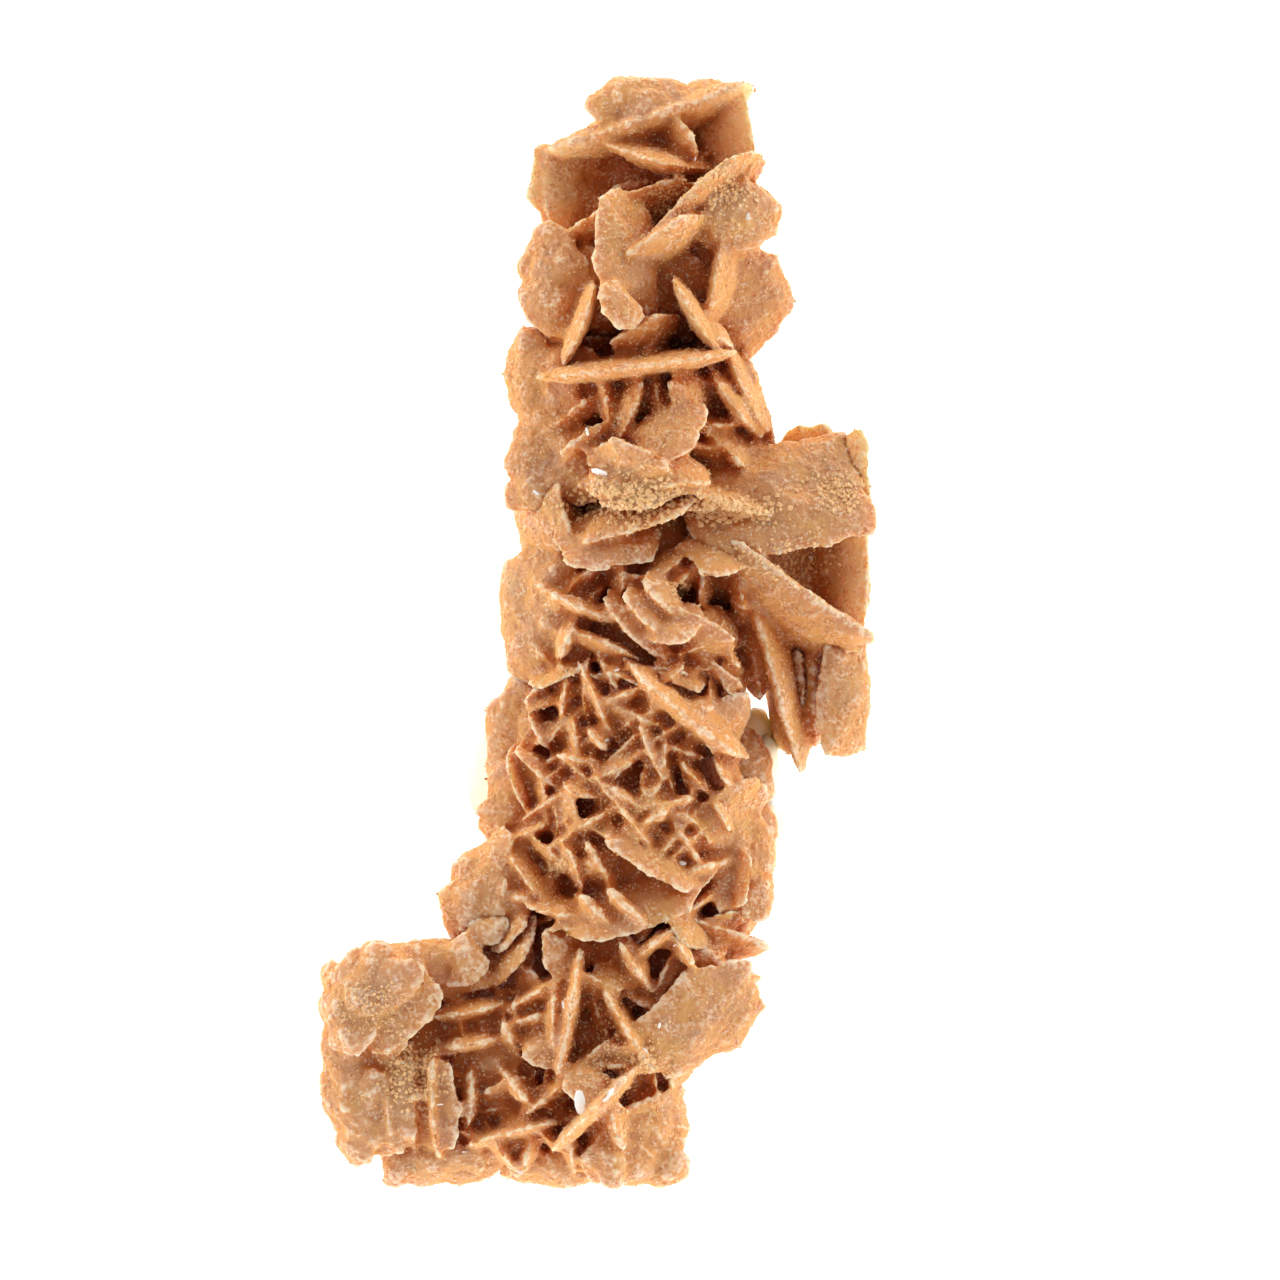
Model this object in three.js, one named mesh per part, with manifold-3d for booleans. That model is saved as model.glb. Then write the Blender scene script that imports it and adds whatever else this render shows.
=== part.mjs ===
// A desert rose: one long, bent cluster of lens-shaped gypsum blades that grew through one
// another in sand. Millimetres, +Z up. The cluster lies on its back on z = 0, with its length
// along Y: the crown is at +Y, the boss stands out at +X, and the foot turns off to -X.
import * as THREE from "three";
import { mergeVertices } from "three/addons/utils/BufferGeometryUtils.js";
import Module from "manifold-3d";

const wasm = await Module();
wasm.setup();

// Driving dimensions of a blade's form, as shares of its own length, depth and thickness.
const STOUT_SIDES = 8; // corners of a stout blade's outline
const SLIM_SIDES = 6; // corners of any other blade's outline
const STOUT_FROM = 2.5; // mm, the thickness from which a blade is stout
const FLAT_FROM = 1.65; // mm, the thickness from which a blade has flat faces, not just a ridge
const SHOULDER_AT = 0.72; // where the flat of the face ends and the bevel begins
const OUTLINE_POWER = 3.6; // 2 is an ellipse, more is squarer
const OUTLINE_JITTER = 0.07; // how far a corner is out of the even outline

// The hidden middle of the cluster, where the blades are grown together: centre and radius.
const HEART = [
  [4.5, 45.0, 10.0, 8.8],
  [5.0, 37.0, 9.5, 9.0],
  [10.5, 33.0, 9.5, 7.8],
  [5.0, 27.0, 9.8, 9.4],
  [5.0, 17.5, 9.8, 9.4],
  [4.5, 8.0, 10.2, 9.6],
  [15.0, 8.5, 9.5, 8.4],
  [20.5, 5.0, 9.5, 7.4],
  [4.0, -2.0, 10.2, 9.6],
  [3.5, -11.5, 10.0, 9.6],
  [3.5, -21.0, 10.0, 10.0],
  [2.5, -31.0, 10.2, 10.2],
  [0.5, -40.5, 10.2, 10.0],
  [0.0, -46.5, 9.5, 8.0],
  [-10.0, -42.5, 10.4, 9.8],
  [-18.0, -42.0, 10.4, 9.2],
  [-17.0, -46.5, 10.0, 7.6],
];
const HEART_WIDENED = 1.15; // its lumps are wider than they are high

// A blade hangs from its crest, the line from one end to the other along its highest edge.
// It reaches down by its depth. Its lean, in degrees, swings the lower edge out: to the left of
// the way from the first end to the second where it is positive, to the right where negative.
const blade = (from, to, depth, lean, thickness) => ({ from, to, depth, lean, thickness });

const CROWN = {
  ridge: blade([-6.2, 47.6, 20.0], [14.8, 54.2, 22.0], 15, -4, 3.8),
  backLump: blade([0.4, 50.2, 19.0], [9.4, 52.6, 19.0], 5, 46, 3.6),
  rightLump: blade([8.6, 53.4, 17.5], [13.4, 53.2, 17.5], 4, 34, 3.0),
  rightEdge: blade([15.2, 54.4, 19.5], [16.0, 41.4, 17.0], 13, -38, 2.6),
  leftPlate: blade([-6.9, 49.2, 16.5], [-6.9, 38.2, 15.0], 11, 52, 2.6),
  slantBar: blade([-0.7, 48.7, 20.5], [9.6, 45.4, 22.5], 12.5, 10, 1.6),
  brace: blade([7.6, 52.2, 20.5], [10.6, 47.2, 20.5], 10.5, -22, 1.3),
  knife: blade([4.0, 38.9, 25.0], [15.5, 48.8, 24.0], 11, -32, 2.0),
  leftRidge: blade([-5.9, 38.4, 18.5], [7.2, 45.8, 23.0], 11, -20, 1.8),
  tongue: blade([-1.0, 43.2, 25.0], [0.6, 30.2, 25.0], 8, 48, 2.6),
};

const SHOULDER = {
  wing: blade([10.0, 40.8, 19.5], [21.8, 36.8, 14.0], 13.5, -66, 3.2),
  innerFace: blade([4.4, 38.6, 19.0], [12.6, 37.6, 18.5], 10, -68, 2.2),
  dagger: blade([12.6, 40.6, 22.0], [10.9, 31.0, 21.0], 11.5, 10, 1.5),
  leftFace: blade([0.6, 39.4, 18.5], [0.6, 29.6, 18.5], 8.4, -62, 3.6),
  leftLower: blade([-7.3, 26.4, 14.5], [-1.2, 30.1, 18.5], 11.5, -18, 2.3),
  shortBar: blade([1.3, 28.8, 24.5], [7.7, 32.0, 24.5], 10.5, -12, 1.4),
  diagonal: blade([7.0, 35.3, 25.0], [11.7, 27.4, 25.0], 11.5, 5, 1.1),
  leftPost: blade([0.2, 34.4, 24.0], [-2.7, 26.5, 23.5], 11.5, -6, 1.8),
  crossLedge: blade([-6.3, 24.8, 26.5], [13.5, 27.2, 27.8], 17, 4, 2.6),
  stairUpper: blade([12.8, 27.4, 20.0], [17.2, 19.0, 17.5], 12.5, 8, 1.8),
  stairInner: blade([11.2, 25.4, 21.5], [16.6, 18.6, 19.0], 12.5, 10, 1.6),
  stairOuter: blade([14.8, 28.4, 15.5], [18.4, 17.0, 13.0], 11.5, -8, 2.2),
};

const NECK = {
  chevronUpper: blade([-6.1, 19.5, 19.0], [0.8, 24.4, 22.0], 12.5, -18, 1.9),
  chevronLower: blade([-4.6, 17.0, 21.0], [3.5, 23.1, 23.5], 12.5, -22, 1.8),
  leftBump: blade([0.4, 30.4, 19.5], [0.0, 20.2, 19.0], 9.6, -58, 3.0),
  leftCheek: blade([0.6, 20.6, 19.5], [0.6, 12.6, 19.5], 9.8, -60, 3.4),
  frameRight: blade([8.2, 20.2, 23.5], [7.0, 25.2, 24.0], 10.5, -22, 1.5),
  leaf: blade([1.2, 16.4, 26.5], [12.4, 16.8, 26.0], 6.6, 52, 1.5),
  braceInner: blade([9.8, 20.6, 21.5], [16.8, 14.6, 18.5], 11.5, 14, 1.7),
  braceOuter: blade([14.6, 19.8, 17.5], [17.6, 12.6, 16.0], 10.5, 12, 2.2),
  crustSlab: blade([-0.9, 11.6, 24.0], [9.6, 13.0, 25.0], 9.5, 44, 3.2),
  crustLip: blade([-1.9, 8.4, 23.0], [10.5, 12.4, 24.5], 10, 24, 1.5),
  sandBar: blade([9.0, 13.8, 24.5], [18.7, 11.0, 21.0], 11.5, 12, 1.8),
  leftFold: blade([-3.8, 16.2, 20.5], [-2.2, 8.6, 21.5], 10.5, -30, 1.5),
};

const BOSS = {
  upperPlate: blade([16.6, 6.4, 20.5], [28.2, 9.6, 20.0], 11, 64, 3.4),
  rightWall: blade([28.7, 19.4, 17.5], [27.7, -1.8, 17.5], 13, -42, 2.8),
  broadBlade: blade([14.0, 9.0, 22.5], [27.4, -0.4, 20.0], 13, -26, 3.5),
  cornerTip: blade([23.8, 2.4, 17.6], [28.8, -1.2, 16.0], 7, 8, 2.2),
  hangingLeft: blade([14.6, 6.0, 19.5], [20.4, -14.2, 17.0], 12.5, 12, 2.8),
  hangingMiddle: blade([20.3, 0.0, 16.0], [20.9, -12.9, 14.5], 11.5, -14, 2.6),
  hangingRight: blade([22.2, -0.4, 17.0], [22.4, -12.4, 15.0], 6, 56, 3.4),
  ruffle: blade([8.4, 6.1, 23.6], [16.0, 5.5, 23.0], 9, 34, 1.2),
};

const MIDDLE = {
  scallopLeft: blade([-5.1, 7.6, 22.0], [4.6, 4.9, 24.0], 9, 46, 1.3),
  orangeBar: blade([-6.8, 4.9, 20.0], [1.2, 1.2, 23.0], 9, 4, 2.0),
  leftHip: blade([-1.0, 8.6, 18.5], [-0.8, -5.0, 18.0], 10.4, -60, 4.0),
  scallopLower: blade([0.1, 3.1, 22.5], [6.3, -3.0, 23.0], 6.5, 42, 1.3),
  scallopMiddle: blade([2.3, 3.8, 23.6], [6.7, -0.8, 24.2], 5.5, 42, 1.2),
  fanLower: blade([6.0, -1.7, 24.6], [11.2, 0.6, 24.2], 5.5, 48, 1.2),
  fanUpper: blade([7.0, 3.2, 24.2], [14.5, -0.5, 22.4], 6, -48, 1.2),
  shelf: blade([8.6, -0.6, 22.0], [15.7, -5.8, 19.5], 11.5, -20, 1.4),
  shelfFace: blade([10.4, -7.0, 20.5], [15.4, -5.2, 18.5], 6, -48, 1.3),
  netTop: blade([-1.6, -3.6, 21.5], [9.7, -3.2, 22.8], 9.5, -26, 1.3),
  spindle: blade([2.6, -2.9, 25.0], [14.7, -13.0, 24.0], 14, 12, 3.4),
};

const NET = {
  slope: blade([-1.5, -2.9, 22.0], [1.6, -10.2, 22.4], 9.5, 0, 1.2),
  bar: blade([-0.4, -7.1, 22.6], [6.1, -4.6, 23.0], 9, -8, 1.2),
  spurLeft: blade([-6.2, -11.4, 18.6], [-1.6, -7.7, 20.8], 8.5, 8, 1.2),
  veeLeft: blade([4.0, -8.8, 23.6], [6.3, -14.4, 23.8], 9.5, 18, 1.2),
  tie: blade([-0.4, -14.7, 23.2], [4.9, -12.0, 23.6], 9.5, 10, 1.2),
  cellSide: blade([6.8, -16.9, 23.6], [10.4, -23.0, 22.6], 9.5, -8, 1.2),
  rightLeaf: blade([8.6, -20.6, 21.6], [12.5, -14.8, 20.5], 9, -44, 1.6),
  cellBar: blade([-1.5, -19.5, 22.6], [2.0, -25.6, 23.0], 9.5, 0, 1.2),
  post: blade([-2.8, -3.2, 20.5], [-3.6, -9.0, 20.0], 8.5, 4, 1.2),
  stem: blade([-2.3, -7.6, 21.4], [-1.3, -15.0, 21.8], 9.5, -5, 1.2),
  rail: blade([1.4, -7.0, 22.8], [7.3, -9.5, 23.0], 8.5, 8, 1.1),
  veeRight: blade([7.2, -9.2, 23.2], [6.4, -14.0, 23.6], 8.5, -10, 1.0),
  tieLower: blade([-0.3, -14.1, 23.6], [4.7, -17.3, 24.2], 9.5, 0, 1.2),
  tieBright: blade([4.2, -17.2, 24.2], [10.5, -15.8, 23.0], 9.5, -12, 1.1),
  longUpper: blade([-8.7, -18.9, 17.8], [-0.3, -14.0, 22.6], 11.5, -8, 1.4),
  longMiddle: blade([-9.5, -20.9, 18.0], [-3.6, -18.3, 20.4], 10.5, -6, 1.4),
  longLower: blade([-5.9, -21.9, 20.6], [2.0, -16.8, 23.8], 11.5, -10, 1.5),
  crossing: blade([0.8, -15.0, 23.6], [5.7, -21.3, 24.2], 9.5, 8, 1.1),
  scallop: blade([0.0, -20.2, 24.2], [8.9, -26.1, 24.2], 6.5, 44, 1.3),
  kneeBar: blade([-9.5, -20.9, 18.6], [-4.4, -27.8, 21.2], 11.5, 15, 1.5),
  wedge: blade([0.7, -24.4, 23.6], [5.0, -28.6, 24.2], 9.5, -10, 1.4),
  baseBar: blade([-8.0, -27.0, 20.0], [1.6, -28.5, 22.6], 10.5, 10, 1.3),
  crescent: blade([-2.4, -32.2, 23.4], [14.0, -25.4, 22.0], 8.5, 48, 2.0),
  rightFlank: blade([10.2, -15.0, 18.0], [10.2, -28.4, 18.0], 8, 54, 3.0),
  rightLow: blade([8.0, -10.4, 13.5], [8.6, -26.5, 13.5], 9.8, 60, 3.0),
  leftLow: blade([-1.8, -5.0, 15.5], [-3.4, -20.8, 15.0], 9.2, -60, 3.2),
  knee: blade([-6.0, -20.4, 18.5], [-6.4, -30.4, 17.5], 9.2, -60, 4.0),
};

const ANKLE = {
  disc: blade([1.4, -38.9, 22.4], [14.3, -30.0, 20.8], 10, -66, 3.0),
  discUpper: blade([8.2, -27.8, 20.0], [18.2, -31.2, 15.0], 10.5, -22, 2.0),
  discMiddle: blade([9.3, -31.8, 19.5], [17.4, -34.3, 14.0], 8, -34, 1.8),
  boxRight: blade([7.2, -29.1, 23.2], [9.9, -33.2, 22.6], 9.5, -4, 1.1),
  boxLeft: blade([2.0, -29.9, 23.2], [5.4, -35.3, 23.2], 9.5, 0, 1.2),
  longBrace: blade([0.2, -34.2, 22.6], [5.3, -43.0, 23.8], 11.5, 0, 1.3),
  postLeft: blade([-4.1, -33.9, 22.2], [-4.2, -41.3, 22.2], 10.5, 0, 1.5),
  postRight: blade([-1.4, -30.9, 23.2], [-3.6, -43.0, 24.4], 12.5, 0, 2.0),
  paleFace: blade([-6.2, -29.4, 21.0], [-4.6, -34.6, 21.0], 6.5, 52, 1.4),
  rafter: blade([-9.9, -37.8, 19.6], [-3.4, -33.8, 22.2], 11.5, -10, 1.5),
  slab: blade([-8.4, -41.5, 20.8], [-3.4, -43.5, 21.6], 6, 48, 1.4),
  elbowOuter: blade([-11.4, -33.4, 17.5], [-6.0, -27.6, 20.0], 11.5, 22, 2.2),
  elbowInner: blade([-9.9, -35.8, 19.0], [-5.1, -29.4, 20.8], 11.5, 26, 1.8),
};

const FOOT = {
  strut: blade([-6.9, -47.6, 22.0], [1.0, -40.7, 23.2], 11.5, 0, 1.4),
  strutBright: blade([-4.7, -51.0, 24.0], [3.5, -42.7, 24.6], 11, -6, 1.8),
  strutLeft: blade([-9.9, -42.6, 21.2], [-6.0, -47.0, 21.2], 10.5, 0, 1.4),
  tie: blade([-13.7, -50.7, 20.0], [-3.3, -47.8, 21.2], 10.5, -6, 1.2),
  toe: blade([-0.4, -48.4, 18.5], [9.4, -49.4, 15.5], 8.6, -58, 3.2),
  toeBar: blade([2.4, -46.9, 19.4], [9.4, -44.8, 15.0], 9, -32, 1.8),
  veeLeft: blade([-10.6, -49.6, 20.2], [-7.4, -54.4, 18.4], 10.5, 0, 1.3),
  veeRight: blade([-6.4, -48.9, 20.2], [-7.5, -54.8, 18.4], 10.5, 0, 1.4),
  lowLong: blade([1.5, -47.2, 20.6], [-2.0, -54.6, 18.0], 11.5, 0, 1.6),
  lowEdge: blade([-9.4, -49.6, 14.5], [-0.2, -50.0, 14.5], 8.4, -50, 3.4),
  edgePlate: blade([-13.8, -42.2, 20.6], [-13.2, -51.6, 19.0], 7.4, -52, 1.8),
  top: blade([-24.4, -37.6, 17.0], [-9.6, -35.4, 18.2], 5.6, 62, 3.4),
  cap: blade([-15.6, -34.2, 21.2], [-21.4, -43.0, 20.6], 10.5, -66, 2.8),
  heel: blade([-21.4, -33.4, 20.0], [-20.4, -43.8, 19.5], 9, -56, 3.0),
  low: blade([-18.4, -42.8, 19.6], [-18.4, -52.2, 18.0], 9, -60, 3.2),
  diagonal: blade([-25.4, -42.8, 17.5], [-18.7, -49.0, 19.5], 10.5, -22, 2.0),
  wall: blade([-18.4, -40.4, 20.2], [-17.9, -51.8, 19.0], 10.5, 0, 1.4),
  base: blade([-20.8, -48.2, 16.0], [-10.4, -49.6, 16.0], 8.4, -54, 3.4),
  baseLow: blade([-21.0, -49.4, 10.0], [-13.2, -50.2, 10.0], 8, -50, 3.0),
  crossBar: blade([-16.9, -38.2, 19.8], [-8.7, -36.8, 19.8], 9.5, 0, 1.4),
};

// The underside and the flanks that face down: blades set by rule along the heart's middle line.
const LINE = [
  [4.5, 45.0],
  [5.0, 30.0],
  [5.0, 8.0],
  [3.5, -14.0],
  [1.0, -34.0],
  [-1.0, -46.0],
];
const BRANCHES = [
  [[13.0, 6.0], [20.0, 5.0]],
  [[-9.0, -43.0], [-19.0, -44.0]],
];
const UNDER = {
  spacing: 9.4, // mm between one row of blades and the next
  axisHeight: 9.4, // mm, the line above the surface
  reach: [10.7, 12.1], // mm from the line to a blade's crest
  length: [11, 17], // mm
  depth: 10, // mm
  thickness: [1.8, 2.4], // mm
};
// A ring of blades round the line has some at the flanks and some low down. Angles in degrees:
// at is measured from straight up, and turn is how far they spread about the line's own way.
const RING = [
  { at: -128, turn: 70 },
  { at: -163, turn: 170 },
  { at: 163, turn: 170 },
  { at: 128, turn: 70 },
];
const RING_SWAY = 24; // degrees, the spread of a blade's place on the ring

const DEG = Math.PI / 180;

// Numbers from 0 to 1, well mixed and the same on every run: the fraction of a much enlarged sine.
const SEEDS_APART = 17; // between the seeds of one blade and the next, which takes several numbers
const MIX = 43758.5453;
const scatter = (n) => {
  const s = Math.sin(n + 1) * MIX;
  return s - Math.floor(s);
};
const between = ([low, high], share) => low + (high - low) * share;

function solidOf(geometry) {
  const bare = geometry.clone();
  bare.deleteAttribute("normal");
  bare.deleteAttribute("uv");
  const merged = mergeVertices(bare, 1e-4);
  const index = merged.index.array;
  const kept = [];
  for (let i = 0; i < index.length; i += 3) {
    const [a, b, c] = index.slice(i, i + 3);
    if (a !== b && b !== c && c !== a) kept.push(a, b, c);
  }
  return new wasm.Manifold(
    new wasm.Mesh({
      numProp: 3,
      vertProperties: merged.attributes.position.array,
      triVerts: new Uint32Array(kept),
    }),
  );
}

// Turns a circle's sine or cosine into a squarer outline's.
const squared = (share) => Math.sign(share) * Math.abs(share) ** (2 / OUTLINE_POWER);

// A lens one unit in radius and one thick about Y, its outline squared up and slightly uneven.
function lens(sides, flatFaced, seed) {
  const profile = flatFaced
    ? [[0, -0.5], [SHOULDER_AT, -0.5], [1, 0], [SHOULDER_AT, 0.5], [0, 0.5]]
    : [[0, -0.5], [1, 0], [0, 0.5]];
  const points = profile.map(([radius, height]) => new THREE.Vector2(radius, height));
  const firstCorner = sides === STOUT_SIDES ? Math.PI / sides : Math.PI / 2;
  const geometry = new THREE.LatheGeometry(points, sides, firstCorner);
  const p = geometry.attributes.position;
  for (let i = 0; i < p.count; i++) {
    const radius = Math.hypot(p.getX(i), p.getZ(i));
    const angle = Math.atan2(p.getZ(i), p.getX(i));
    const corner = Math.round((angle / Math.PI + 1) * sides) % (2 * sides);
    const reach = radius * (1 - OUTLINE_JITTER * scatter(seed * SEEDS_APART + corner));
    p.setX(i, reach * squared(Math.cos(angle)));
    p.setZ(i, reach * squared(Math.sin(angle)));
  }
  return geometry;
}

// The blade as a solid in its place: the lens's X is the crest, its Z the way down.
function bladeSolid({ from, to, depth, lean, thickness }, seed) {
  const start = new THREE.Vector3(...from);
  const end = new THREE.Vector3(...to);
  const along = end.clone().sub(start);
  const length = along.length();
  along.normalize();
  const down = new THREE.Vector3(0, 0, -1);
  down.addScaledVector(along, -down.dot(along)).normalize();
  down.applyAxisAngle(along, lean * DEG);
  const normal = down.clone().cross(along);
  const centre = start.add(end).multiplyScalar(0.5).addScaledVector(down, depth / 2);
  const place = new THREE.Matrix4().makeBasis(along, normal, down).setPosition(centre);
  const sides = thickness >= STOUT_FROM ? STOUT_SIDES : SLIM_SIDES;
  const form = lens(sides, thickness >= FLAT_FROM, seed);
  return solidOf(form.scale(length / 2, thickness, depth / 2).applyMatrix4(place));
}

// Points at even steps along a line of corners.
function stepsAlong(corners, spacing) {
  const path = new THREE.CurvePath();
  for (let i = 1; i < corners.length; i++) {
    const [a, b] = [corners[i - 1], corners[i]];
    path.add(new THREE.LineCurve(new THREE.Vector2(...a), new THREE.Vector2(...b)));
  }
  const count = Math.round(path.getLength() / spacing);
  return Array.from({ length: count + 1 }, (_, i) => ({
    at: path.getPointAt(i / count),
    way: path.getTangentAt(Math.min(i / count, 0.999)),
  }));
}

// One blade of the underside. Its place on the ring is also its lean, so it roots in the heart.
function underBlade({ at, way }, ring, seed) {
  const draw = (range, k) => between(range, scatter(seed + k));
  const lean = ring.at + draw([-RING_SWAY / 2, RING_SWAY / 2], 0);
  const reach = draw(UNDER.reach, 1);
  const aside = reach * Math.sin(lean * DEG);
  const middle = new THREE.Vector3(
    at.x + way.y * aside,
    at.y - way.x * aside,
    UNDER.axisHeight + reach * Math.cos(lean * DEG),
  );
  const heading = way.angle() + draw([-ring.turn / 2, ring.turn / 2], 2) * DEG;
  const half = new THREE.Vector3(Math.cos(heading), Math.sin(heading), 0);
  half.multiplyScalar(draw(UNDER.length, 3) / 2);
  return blade(
    middle.clone().sub(half).toArray(),
    middle.clone().add(half).toArray(),
    UNDER.depth,
    lean,
    draw(UNDER.thickness, 4),
  );
}

// Every other place of the ring is taken in a row, and the rest in the next.
function underside() {
  const blades = [];
  for (const corners of [LINE, ...BRANCHES])
    stepsAlong(corners, UNDER.spacing).forEach((step, row) => {
      RING.filter((_, k) => (row + k) % 2 === 0).forEach((ring) =>
        blades.push(underBlade(step, ring, SEEDS_APART * blades.length)),
      );
    });
  return blades;
}

const heartSolids = HEART.map(([x, y, z, radius]) =>
  solidOf(new THREE.IcosahedronGeometry(radius).scale(HEART_WIDENED, 1, 1).translate(x, y, z)),
);
const groups = [CROWN, SHOULDER, NECK, BOSS, MIDDLE, NET, ANKLE, FOOT];
const blades = [...groups.flatMap((group) => Object.values(group)), ...underside()];
const bladeSolids = blades.map((b, i) => bladeSolid(b, i + 1));

// All of it is one stone, worn flat where it meets the surface. Small hollows that the crossing
// blades close off inside it are left solid: only the largest skin, the outer one, is kept.
const BELOW = 60; // mm, the block that is cut away under the surface
const SPREAD = 200; // mm, wider than the cluster
const ground = solidOf(new THREE.BoxGeometry(SPREAD, SPREAD, BELOW).translate(0, 0, -BELOW / 2));
const grown = [...heartSolids, ...bladeSolids].reduce((whole, s) => whole.add(s)).subtract(ground);
const stone = grown.decompose().reduce((most, s) => (s.volume() > most.volume() ? s : most));

// The frame's origin is under the middle of the stone.
const box = stone.boundingBox();
const middle = [0, 1].map((axis) => (box.min[axis] + box.max[axis]) / 2);
const mesh = stone.getMesh();
const position = new Float32Array(mesh.numVert * 3);
for (let i = 0; i < mesh.numVert; i++) {
  const [x, y, z] = mesh.vertProperties.subarray(i * mesh.numProp, i * mesh.numProp + 3);
  position.set([x - middle[0], y - middle[1], z], i * 3);
}
const geometry = new THREE.BufferGeometry()
  .setAttribute("position", new THREE.BufferAttribute(position, 3))
  .setIndex(new THREE.BufferAttribute(mesh.triVerts, 1));
geometry.computeVertexNormals();

const sandyGypsum = new THREE.MeshStandardMaterial({
  color: 0xcb9468,
  roughness: 0.85,
  metalness: 0,
  flatShading: true,
});
const desertRose = new THREE.Mesh(geometry, sandyGypsum);
desertRose.name = "desert_rose";

const part = new THREE.Group();
part.add(desertRose);
export default part;
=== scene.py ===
# %% [markdown]
# # A desert rose, blade by blade
#
# A desert rose is gypsum that grew in wet sand. Each crystal is a flat lens with a thin rim, and
# hundreds of them grew through one another until they were one stone. This one is a long, bent
# cluster that lies on its back. It is rebuilt here the way it grew: first the large blades one
# by one, then the small ones between them, then the sand that stuck to it.
#
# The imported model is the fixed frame. The visible stone goes exactly where its solid is.

# %% Load the frame
import math
import random
from collections import namedtuple

import bmesh
import bpy
import numpy as np
from mathutils import Matrix, Quaternion, Vector, noise
from mathutils.bvhtree import BVHTree


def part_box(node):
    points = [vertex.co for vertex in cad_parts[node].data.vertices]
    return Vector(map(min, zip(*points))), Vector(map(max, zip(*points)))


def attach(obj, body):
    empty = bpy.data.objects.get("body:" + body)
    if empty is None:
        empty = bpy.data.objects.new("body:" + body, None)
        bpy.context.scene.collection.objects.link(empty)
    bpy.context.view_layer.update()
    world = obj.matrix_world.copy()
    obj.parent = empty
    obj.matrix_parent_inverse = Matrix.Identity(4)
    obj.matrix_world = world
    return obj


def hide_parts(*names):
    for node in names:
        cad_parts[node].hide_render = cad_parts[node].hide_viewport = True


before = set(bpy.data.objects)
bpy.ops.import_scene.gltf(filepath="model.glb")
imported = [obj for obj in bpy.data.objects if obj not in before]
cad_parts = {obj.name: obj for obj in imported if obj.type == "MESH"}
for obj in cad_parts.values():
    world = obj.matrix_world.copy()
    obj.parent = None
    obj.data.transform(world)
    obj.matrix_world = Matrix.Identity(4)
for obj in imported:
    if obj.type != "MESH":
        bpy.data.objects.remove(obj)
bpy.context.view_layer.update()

stone_low, stone_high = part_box("desert_rose")
print("the solid is", [round(high - low, 4) for low, high in zip(stone_low, stone_high)], "metres")

# %% [markdown]
# ## The blades that can be told apart
#
# On the real piece each of these is one crystal. They could be sculpted, but a table is easier
# to check against the piece: a blade hangs from its crest, the line along its highest edge, and
# reaches down from it. The lean, in degrees, swings the lower edge out to the left of the way
# from the first end to the second, or to the right where it is negative. A collector would
# measure these in millimetres, so the tables do too, and blade() turns them into metres.

# %% What a blade is
MM = 0.001
Blade = namedtuple("Blade", "start end depth lean thickness")


def blade(start, end, depth, lean, thickness):
    """A blade from its crest's two ends, its depth and thickness, all in millimetres."""
    return Blade(Vector(start) * MM, Vector(end) * MM, depth * MM, lean, thickness * MM)


def blades(table):
    """The blades of a region by name, from a table that gives blade() its sizes."""
    return {name: blade(*sizes) for name, sizes in table.items()}


# %% The blades of each region, from the crown down to the foot
CROWN = blades({
    "ridge": ((-6.2, 47.6, 20.0), (14.8, 54.2, 22.0), 15, -4, 3.8),
    "back_lump": ((0.4, 50.2, 19.0), (9.4, 52.6, 19.0), 5, 46, 3.6),
    "right_lump": ((8.6, 53.4, 17.5), (13.4, 53.2, 17.5), 4, 34, 3.0),
    "right_edge": ((15.2, 54.4, 19.5), (16.0, 41.4, 17.0), 13, -38, 2.6),
    "left_plate": ((-6.9, 49.2, 16.5), (-6.9, 38.2, 15.0), 11, 52, 2.6),
    "slant_bar": ((-0.7, 48.7, 20.5), (9.6, 45.4, 22.5), 12.5, 10, 1.6),
    "brace": ((7.6, 52.2, 20.5), (10.6, 47.2, 20.5), 10.5, -22, 1.3),
    "knife": ((4.0, 38.9, 25.0), (15.5, 48.8, 24.0), 11, -16, 2.0),
    "left_ridge": ((-5.9, 38.4, 18.5), (7.2, 45.8, 23.0), 11, -20, 1.8),
    "tongue": ((-1.0, 43.2, 25.0), (0.6, 30.2, 25.0), 8, 48, 2.6),
})

SHOULDER = blades({
    "wing": ((10.0, 40.8, 19.5), (21.8, 36.8, 14.0), 13.5, -66, 3.2),
    "inner_face": ((4.4, 38.6, 19.0), (12.6, 37.6, 18.5), 10, -68, 2.2),
    "dagger": ((12.6, 40.6, 22.0), (10.9, 31.0, 21.0), 11.5, 10, 1.5),
    "left_face": ((0.6, 39.4, 18.5), (0.6, 29.6, 18.5), 8.4, -62, 3.6),
    "left_lower": ((-7.3, 26.4, 14.5), (-1.2, 30.1, 18.5), 11.5, -18, 2.3),
    "short_bar": ((1.3, 28.8, 24.5), (7.7, 32.0, 24.5), 10.5, -12, 1.4),
    "diagonal": ((7.0, 35.3, 25.0), (11.7, 27.4, 25.0), 11.5, 5, 1.1),
    "left_post": ((0.2, 34.4, 24.0), (-2.7, 26.5, 23.5), 11.5, -6, 1.8),
    "cross_ledge": ((-6.3, 24.8, 26.5), (13.5, 27.2, 27.8), 17, 4, 2.6),
    "stair_upper": ((12.8, 27.4, 20.0), (17.2, 19.0, 17.5), 12.5, 8, 1.8),
    "stair_inner": ((11.2, 25.4, 21.5), (16.6, 18.6, 19.0), 12.5, 10, 1.6),
    "stair_outer": ((14.8, 28.4, 15.5), (18.4, 17.0, 13.0), 11.5, -8, 2.2),
})

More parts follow.
